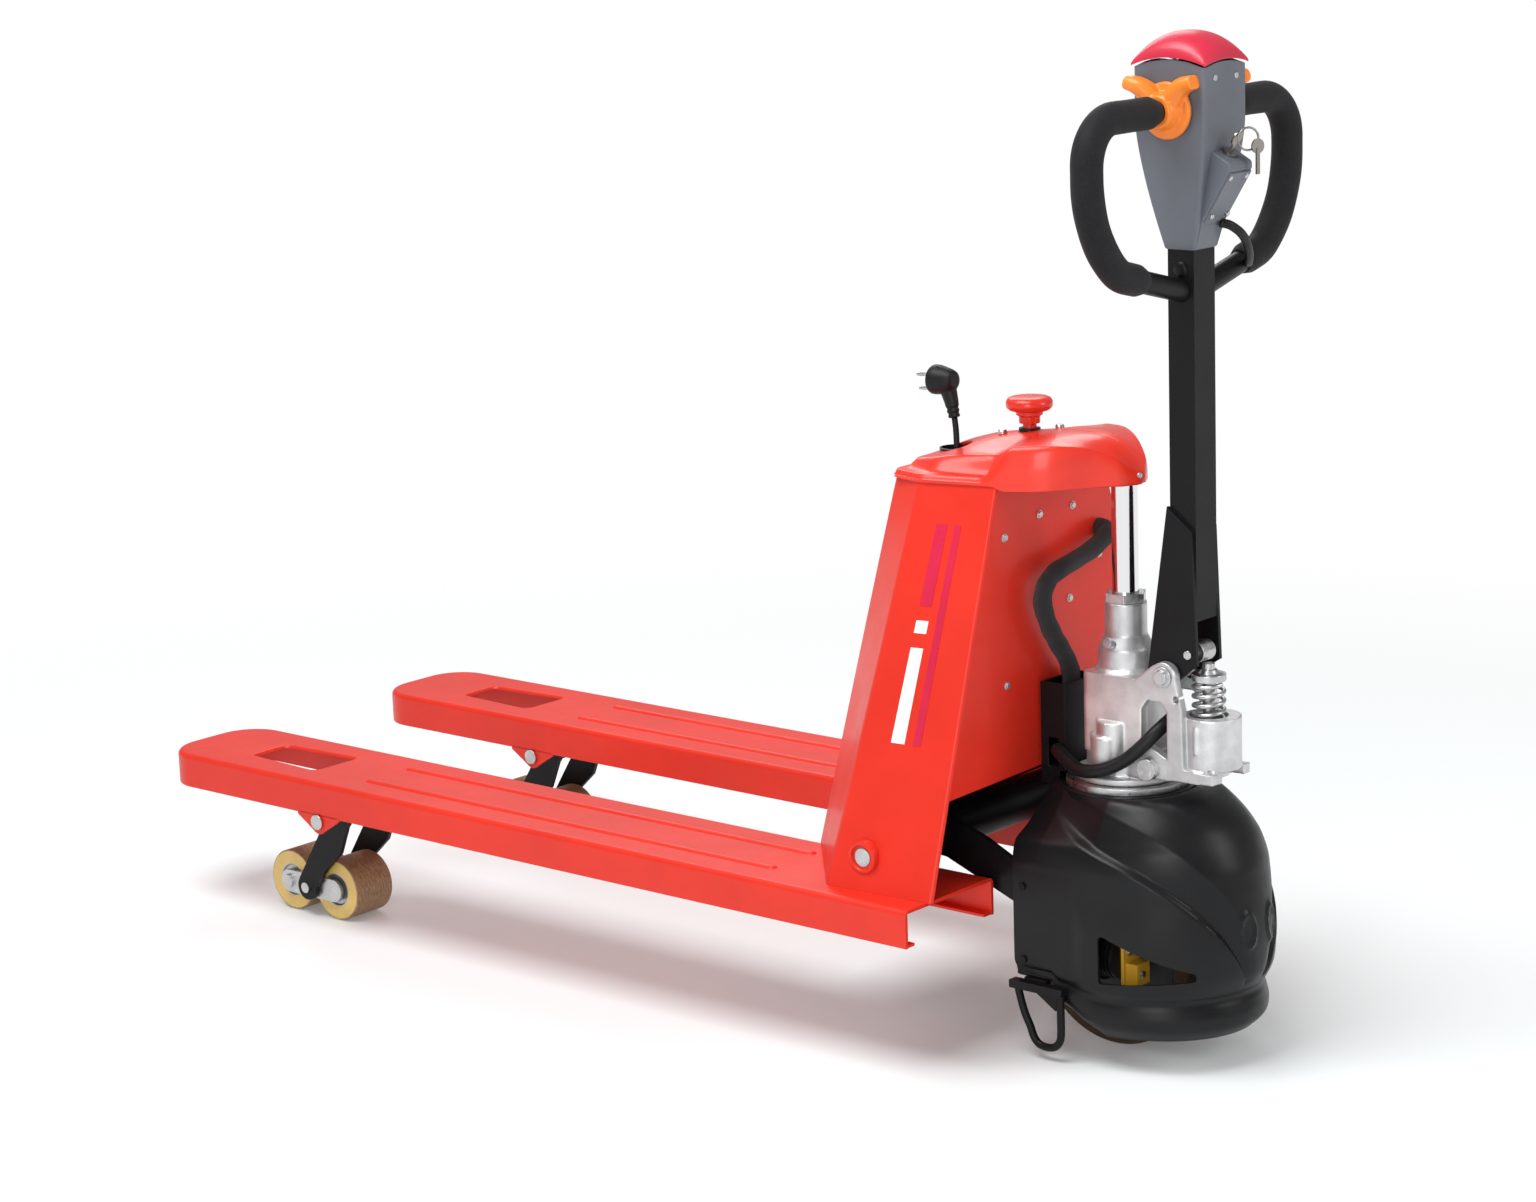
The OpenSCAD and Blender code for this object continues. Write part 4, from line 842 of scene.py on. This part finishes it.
cut(casting, turned([(15.5, 323), (15.5, 560)], 0, 0, 64), turned([(7.6, 319), (7.6, 380)], 111, 0),
    turned([(21.9, 366), (21.9, 440)], 111, 0, 64))
casting.data.shade_smooth()
done(casting, "pump_casting", angle=50)
made |= {"pump_casting"}

# ---- pump cable ----
# A thick rubber cable from the bracket's foot round the front of the casting into its window.
cable_path = place(curve_through([(-72, -36, 338), (-58, -46, 335), (-40, -55, 330), (-18, -63, 327),
    (8, -63, 331), (32, -54, 343), (50, -44, 360), (62, -32, 376), (68, -12, 388), (69, 4, 392)], 6))
shape = tube(cable_path, 0.0078, (0, 0, 1), 24)
cable = done(solid("pump_cable", shape, True), None, "cable", False, angle=60)
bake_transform(cable)

# ---- harness ----
# Braided fabric sleeve round the motor's wires, creased where it turns down into the bracket.


def sleeve():
    m = Material("sleeve", (0.02, 0.02, 0.021), 0.8, **{"Sheen Weight": 0.1, "Specular IOR Level": 0.25})
    u = m.node("UVMap", "UV", {"uv_map": "along"})
    x, y = (m.node("SeparateXYZ", k, Vector=u) for k in "XY")
    a, b = ((x * 14.0 + y * 90.0) * 6.2832).sin(), ((y * 90.0 - x * 14.0) * 6.2832).sin()
    weave = a.abs().max(b.abs())
    folds = m.noise(28, 3, 0.6)
    m.set(**{"Base Color": m.mix(weave, (0.004, 0.004, 0.005), (0.026, 0.026, 0.028))})
    return m.bump(weave * 0.5 + folds * 2.0, 0.6, 0.0012)


mats["sleeve"] = sleeve()
route = curve_through([(-99.5, 88, 572), (-90, 86, 571.5), (-82, 78, 567), (-79.5, 50, 556),
    (-79, 12, 548), (-79, -24, 541), (-80, -41, 530), (-81, -47, 513),
                       (-80.5, -43, 495), (-80, -33, 475), (-79.5, -19, 455), (-79, -5, 436), (-79, 2,
                       418), (-79, 2, 398)], 10)
k = np.linspace(0, 1, len(route))
fold = 0.45 * np.sin(k * 47) * np.sin(k * 13) + 0.25 * np.sin(k * 83 + 1)
ROUND = 36                       # points round the sleeve
shape = tube(place(route), (10.6 + fold) / 1000, (1, 1, 1), ROUND)
loom = done(solid("harness_sleeve", shape, True), "harness", body=False, angle=70)
uv = loom.data.uv_layers.new(name="along")
vi = np.empty(len(loom.data.loops), int)
loom.data.loops.foreach_get("vertex_index", vi)
i, j = vi // ROUND, vi % ROUND
first = np.empty(len(loom.data.polygons), int)
loom.data.polygons.foreach_get("loop_start", first)
owner = np.searchsorted(first, np.arange(len(vi)), side="right") - 1
wraps = np.zeros(len(first), bool)
np.logical_or.at(wraps, owner, j == ROUND - 1)
vv = np.where((j == 0) & wraps[owner], 1.0, j / ROUND)
uv.data.foreach_set("uv", np.stack([i / 14.0, vv], 1).ravel())
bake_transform(loom)
made |= {"harness"}

# ---- tiller head ----
# A slate-grey moulded head, built as one shell without the seam between its two halves, that narrows to the
# tube, with an arched top under the red button, and a wedge-shaped switch box with a screwed plate on the
# operator's side.
mats["slate_plastic"] = plastic("slate_plastic", (0.115, 0.125, 0.148), 0.45, grain=0.3, scale=1100)
def head_ring(z, g=0.0, arch=0.0):
    t = np.clip((1052 - z) / 137, 0, 1)
    hx, hy = 46 - 26.5 * t**1.35 - g, 40 - 16.5 * t**1.5 - g
    o = rounded([(-hx, -hy), (hx, -hy), (hx, hy), (-hx, hy)], 4.5, 7)
    dense = curve_free(o, 5)
    x, y = dense.T
    top = arch * (9 * (1 - (x / hx)**2) + 6 * (1 - (y / hy)**2))
    return np.column_stack([x + 92, y, z + np.maximum(top, 0)])


# n points along each side of a closed outline
def curve_free(o, n):
    t = np.linspace(0, 1, n, endpoint=False)[None, :, None]
    return (o[:, None] * (1 - t) + np.roll(o, -1, 0)[:, None] * t).reshape(-1, 2)


head_rings = [head_ring(915, 1.2),
    head_ring(916.2, 0)] + [head_ring(z) for z in np.linspace(925, 1090, 22)] + \
             [head_ring(z, 0, ease(z, 1088, 1111)) for z in np.linspace(1094, 1110.5, 6)] + \
             [head_ring(1111.2, 1.5, 1), head_ring(1110.6, 8, 1), head_ring(1109, 30, 1)]
done(solid("head_shell", loft(head_rings)), "tiller_head", angle=50)
wedge = rounded([(112, 1035), (121, 1030), (157, 1009.3), (157, 1002), (119, 941), (100, 941)],
    [2, 4, 5, 4, 4, 2], 6)
flange = rounded([(100, 917), (112.5, 917), (119.5, 941), (119, 944), (100, 944)], [1, 1.5, 2, 1, 1], 4)
lid_dir = np.array([38.0, 61.0]) / math.hypot(38, 61)
lid_n = np.array([lid_dir[1], -lid_dir[0]])
c0, c1 = np.array([119.5, 943]), np.array([156.6, 1001.5])
lid = [c0 + lid_dir * 3 - lid_n, c1 - lid_dir * 2 - lid_n, c1 - lid_dir * 2 + lid_n * 2.2,
    c0 + lid_dir * 3 + lid_n * 2.2]
done(solid("key_switch_box", slab(wedge, -22, 22)), None, "slate_plastic", "tiller", bevel=2.6, angle=40,
    segments=4)
done(solid("key_switch_lid", slab(lid, -20, 20)), None, "slate_plastic", "tiller", bevel=0.9, angle=40)
done(solid("key_switch_flange", slab(flange, -21, 21)), None, "slate_plastic", "tiller", bevel=1.2,
    angle=40)
made |= {"tiller_head"}

# ---- reverse button ----
# Soft crimson pad on top of the head: a shallow pillow whose lower edges are arched, with
# pointed corners that stand a little proud.
mats["magenta_plastic"] = plastic("magenta_plastic", (0.56, 0.018, 0.05), 0.33, grain=0.08)
PAD = 41                         # points along each side of the pad
u = np.linspace(-1, 1, PAD)
gx, gy = np.meshgrid(u, u, indexing="ij")
pad_x, pad_y = 47.8 * gx, 41.8 * gy
edge_z = 1112.0 + 9 * (1 - gx**2) + 6 * (1 - gy**2)
crown = (1 - np.abs(gx)**2.6) * (1 - np.abs(gy)**2.6)
top_z = edge_z + 3.5 + 18 * np.clip(crown, 0, 1)**0.55
low_z = np.where(np.maximum(np.abs(gx), np.abs(gy)) > 0.96, edge_z, top_z - 2.6)
top_v = np.stack([pad_x + 92, pad_y, top_z], -1).reshape(-1, 3)
low_v = np.stack([pad_x + 92, pad_y, low_z], -1).reshape(-1, 3)
grid = grid_faces(PAD, PAD)
idx = np.arange(PAD * PAD).reshape(PAD, PAD)
hoop_i = np.concatenate([idx[0, :-1], idx[:-1, -1], idx[-1, :0:-1], idx[:0:-1, 0]])
rim = [[a, b, b + PAD**2, a + PAD**2] for a, b in zip(hoop_i, np.roll(hoop_i, -1))]
pad = solid("reverse_pad",
    (np.vstack([top_v, low_v]), grid + [[q + PAD**2 for q in f[::-1]] for f in grid] + rim))
done(pad, "belly_button", bevel=1.2, angle=50)
stem = turned([(12, 1100), (12, 1140)], 92, 0, 32)
done(solid("reverse_stem", stem), None, "black_plastic", "reverse_button")
made |= {"belly_button"}

# ---- throttle ----
# Orange butterfly levers on both sides of the head: a round flange, a hub round the bar and
# two scooped wings, moulded in one.
mats["orange_plastic"] = plastic("orange_plastic", (0.90, 0.23, 0.02), 0.32, grain=0.06)
wings = []
for s in (-1, 1):
    def across(r, y, x=92.0, z=1066.0):
        return np.stack([x + r * np.cos(ang), s * y + 0 * ang, z + r * np.sin(ang)], 1)
    flange_t = loft([across(29.5, 41.2), across(31, 42), across(31, 45.5), across(29, 47.4),
        across(22, 48.5)])
    hub = loft([across(22, 44), across(20.5, 52), across(18.5, 62), across(16.5, 64.5)])
    parts = [flange_t, hub]
    for k, (dx, dz, dy, r0, r1) in ((-1, (-33, 27, 60, 12, 7.5)), (1, (31, 28, 52, 12, 7.5))):
        path = curve_through([(92 + 0.2 * dx, s * 52, 1066 + 0.15 * dz),
            (92 + 0.55 * dx, s * (52 + (dy - 52) * 0.5), 1066 + 0.72 * dz),
                              (92 + 0.85 * dx, s * dy, 1066 + 1.0 * dz), (92 + 1.25 * dx, s * dy,
                              1066 + 1.12 * dz)], 6)
        parts.append(tube(path, np.linspace(r0, r1, len(path)), (0, 1, 0), 24))
        parts.append(tube(path + (0, s * -7, 0), np.linspace(r0, r1, len(path)), (0, 1, 0), 24))
    lever = fuse(solid("throttle_" + "lr"[s > 0], join(*parts)), 1.0, 4)
    done(lever, *(("throttle",) if s < 0 else (None, "orange_plastic", "throttles")), angle=180)
made |= {"throttle"}

# ---- handle and grips ----
# A bent steel tube, painted black, runs through the head and down to the tiller's tube;
# closed-cell foam sleeves cover its sides. Round weld caps close its ends at the tube.


def foam():
    m = Material("foam", (0.01, 0.01, 0.011), 0.72,
        **{"Sheen Weight": 0.04, "Sheen Roughness": 0.5, "Specular IOR Level": 0.2})
    cells = m.node("TexVoronoi", "Distance", Vector=m.at(), Scale=900.0)
    m.set(**{"Base Color": m.mix(cells, (0.004, 0.004, 0.005), (0.016, 0.016, 0.018)),
             "Roughness": m.noise(30, 3, 0.6).step(0.2, 0.8) * 0.12 + 0.64})
    return m.bump(cells * 0.6 + m.noise(60, 3, 0.6) * 0.8, 0.35, 0.0006)


mats["foam"] = foam()
def arc(cy, cz, r, a0, a1, n):
    a = np.radians(np.linspace(a0, a1, n))
    return np.stack([cy + r * np.cos(a), cz + r * np.sin(a)], 1)


bend = np.vstack([[(70, 1066), (100, 1066), (125, 1066)], arc(142, 1018, 48, 90, 0, 16),
    arc(60, 1006, 130, 0, -50, 18), arc(111.4, 944.7, 50, -55, -76, 6)])
toe = bend[-1]
low = np.array([(95, toe[1] - (toe[0] - 95) * math.tan(math.radians(14))),
    (17, toe[1] - (toe[0] - 17) * math.tan(math.radians(14)))])
grip_line = curve_through(np.vstack([bend, low[:1]]), 3)


def in_handle(yz, s):
    return np.column_stack([np.full(len(yz), 92.0), s * yz[:, 0], yz[:, 1]])


for s in (-1, 1):
    g = in_handle(grip_line, s)
    steps = np.linalg.norm(np.diff(g, axis=0), axis=1)
    along = np.concatenate([[0], steps.cumsum()])
    keep = np.concatenate([[True], steps > 0.5])
    g, along = g[keep], along[keep]
    ends = np.minimum(along, along[-1] - along)
    r = 17.5 - 3.2 * (1 - np.clip(ends / 3.0, 0, 1))**2 + 0.12 * np.sin(along / 9.0)
    name = "grip_left" if s < 0 else "grip_right"
    foam_ob = done(solid(name + "_foam", tube(g, r, (1, 0, 0), 40)), name, angle=50)
    lower = in_handle(np.vstack([low[0] + (low[0] - low[1]) * 0.15, low[0], low[1]]), s)
    upper = in_handle(np.array([(38.0, 1066.0), (60.0, 1066.0), (76.0, 1066.0)]), s)
    disc_r = np.array([(0.5, 3.4), (5, 3.2), (8, 2.2), (9, 0)])
    weld = loft([np.stack([92 + r_ * np.cos(ang), s * (20 + h_) + 0 * ang,
        low[1][1] + 24 + r_ * np.sin(ang)], 1) for r_, h_ in disc_r[::-1]])
    done(solid("handle_tube_" + "lr"[s > 0],
        join(tube(lower, 12.5, (1, 0, 0), 32), tube(upper, 12.5, (1, 0, 0), 32), weld)),
         *(("handle_loop",) if s < 0 else (None, "black_paint", "tiller")), angle=50)
made |= {"grip_left", "grip_right", "handle_loop"}

# ---- head cable ----
# A rubber-sheathed cable out of the head's foot, over to the handle's lower tube.
hc = curve_through([(122, 12, 942), (128, 18, 940), (130, 26, 936), (131, 36, 930), (129, 48, 922),
    (125, 60, 912), (119, 72, 902), (112, 82, 894), (106, 90, 889)], 6)
done(solid("head_cable_sheath", tube(place(hc), 0.005, (0, 0, 1), 20), True), "head_cable", angle=60)
made |= {"head_cable"}

# ---- return spring ----
# Cold-wound and zinc-plated 5 mm wire, six coils round the pump's plunger, wound at one even pitch without
# closing its ends.
a = np.linspace(0, 12 * np.pi, 6 * 28 + 1)
wind = np.stack([111 + 17 * np.cos(a), 17 * np.sin(a), 369.5 + 63.5 * a / a[-1]], 1)
spring = done(solid("spring_wire", tube(wind, 2.5, (0, 0, 1), 14)), "return_spring", body=False, angle=60)
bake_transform(spring)
made |= {"return_spring"}

# ---- load rollers ----
# Polyurethane on steel hubs: a scuffed brown tread, paler amber side faces and a zinc hub.


# a node's own shape with small radii on its sharp edges
def bevelled(node, width=0.8, segments=2, angle=35, name=None, mat=None):
    me = nodes[node].data.copy()
    me.name = name or node + "_body"
    bm = bmesh.new()
    bm.from_mesh(me)
    bmesh.ops.remove_doubles(bm, verts=bm.verts, dist=3e-6)
    bmesh.ops.dissolve_limit(bm, angle_limit=math.radians(0.6), verts=bm.verts, edges=bm.edges)
    for f in bm.faces:
        f.smooth = True
    bm.to_mesh(me)
    bm.free()
    ob = bpy.data.objects.new(me.name, me)
    scene.collection.objects.link(ob)
    if width:
        m = ob.modifiers.new("edge", "BEVEL")
        m.width, m.segments = width / 1000, segments
        m.limit_method, m.angle_limit = "ANGLE", math.radians(angle)
        m.miter_outer = "MITER_ARC"
        m.use_clamp_overlap = True
    m = ob.modifiers.new("normals", "WEIGHTED_NORMAL")
    m.keep_sharp = True
    m.weight = 60
    return finish_piece(ob, like=node, mat=mat)


mats["roller"] = plastic("roller", (0.42, 0.28, 0.14), 0.42, grain=0.2, scale=500)
def roller_finish(name, x0, z0):
    m = Material(name, (0.5, 0.3, 0.1), 0.4)
    x, y, z = m.xyz()
    dx, dz = x - x0, z - z0
    far = (dx * dx + dz * dz) ** 0.5
    tread, hub = far.step(0.0372, 0.0392), 1.0 - far.step(0.0215, 0.0225)
    scuff = m.noise(130, 4, 0.7, stretch=(1, 6, 1)).step(0.35, 0.7)
    amber = m.mix(m.noise(26, 3, 0.6), (0.56, 0.36, 0.07), (0.78, 0.56, 0.20))
    worn = m.mix(scuff, (0.20, 0.115, 0.055), (0.42, 0.27, 0.14))
    m.set(**{"Base Color": m.mix(hub, m.mix(tread, amber, worn), (0.42, 0.43, 0.44)),
             "Roughness": tread * 0.16 + 0.30, "Metallic": hub * 0.8})
    return m.bump(scuff * 0.6 + m.noise(400, 3, 0.6) * 0.5, 0.25, 0.0006)


for name in ("roller_left_front", "roller_left_rear", "roller_right_front", "roller_right_rear"):
    rlo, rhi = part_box(name)
    mats[name] = roller_finish(name, (rlo[0] + rhi[0]) / 2, (rlo[2] + rhi[2]) / 2)
    ob = bevelled(name, 2.2, 3)
    ob.data.materials.clear()
    ob.data.materials.append(mats[name].mat)
    made.add(name)

# ---- all other parts ----
# Turned pins, plates, brackets, screws and the drive unit keep their built shapes, with a
# small radius broken on every edge.
mats["grey_paint"] = paint("grey_paint", (0.03, 0.031, 0.034), 0.45, worn=(0.15, 0.15, 0.15), shine=0.3)
mats["battery"] = plastic("battery", (0.05, 0.055, 0.06), 0.5)
mats["tyre"] = plastic("tyre", (0.05, 0.027, 0.014), 0.5, grain=0.3, scale=500, shine=0.3)
mats["key_steel"] = chrome("key_steel", (0.30, 0.28, 0.26), 0.28)
broken_edge = {"tiller_frame": 1.6, "roller_arm_left": 1.2, "roller_arm_right": 1.2, "bell_crank": 1.2,
    "cable_bracket": 0.9,
               "carrier": 1.0, "box_screws": 0.5, "drive_tyre": 4.0, "battery_pack": 2.0}
dark = {"cover_screws": "black_paint", "drive_wheel": "grey_paint", "ignition_key": "key_steel"}
for node in sorted(set(nodes) - made):
    bevelled(node, broken_edge.get(node, 0.8), mat=dark.get(node))

# ---- floor ----
# White studio floor that fades into the backdrop.
bpy.ops.mesh.primitive_plane_add(size=60, location=(0, 0, -0.0005))
floor = bpy.context.object
floor.name = "floor"
fm = Material("floor", (0.755, 0.785, 0.79), 0.9)
fm.set(**{"Emission Color": (1, 1, 1), "Emission Strength": 0.12})
x, y, z = fm.xyz()
far = ((x * x + y * y) ** 0.5).step(0.9, 2.6)
emit = fm.node("Emission", "Emission", Color=(1, 1, 1, 1), Strength=1.0)
mixer = fm.tree.nodes.new("ShaderNodeMixShader")
fm.tree.links.new(far.socket, mixer.inputs[0])
fm.tree.links.new(fm.bsdf.outputs[0], mixer.inputs[1])
fm.tree.links.new(emit.socket, mixer.inputs[2])
fm.tree.links.new(mixer.outputs[0], fm.tree.nodes["Material Output"].inputs["Surface"])
floor.data.materials.append(fm.mat)
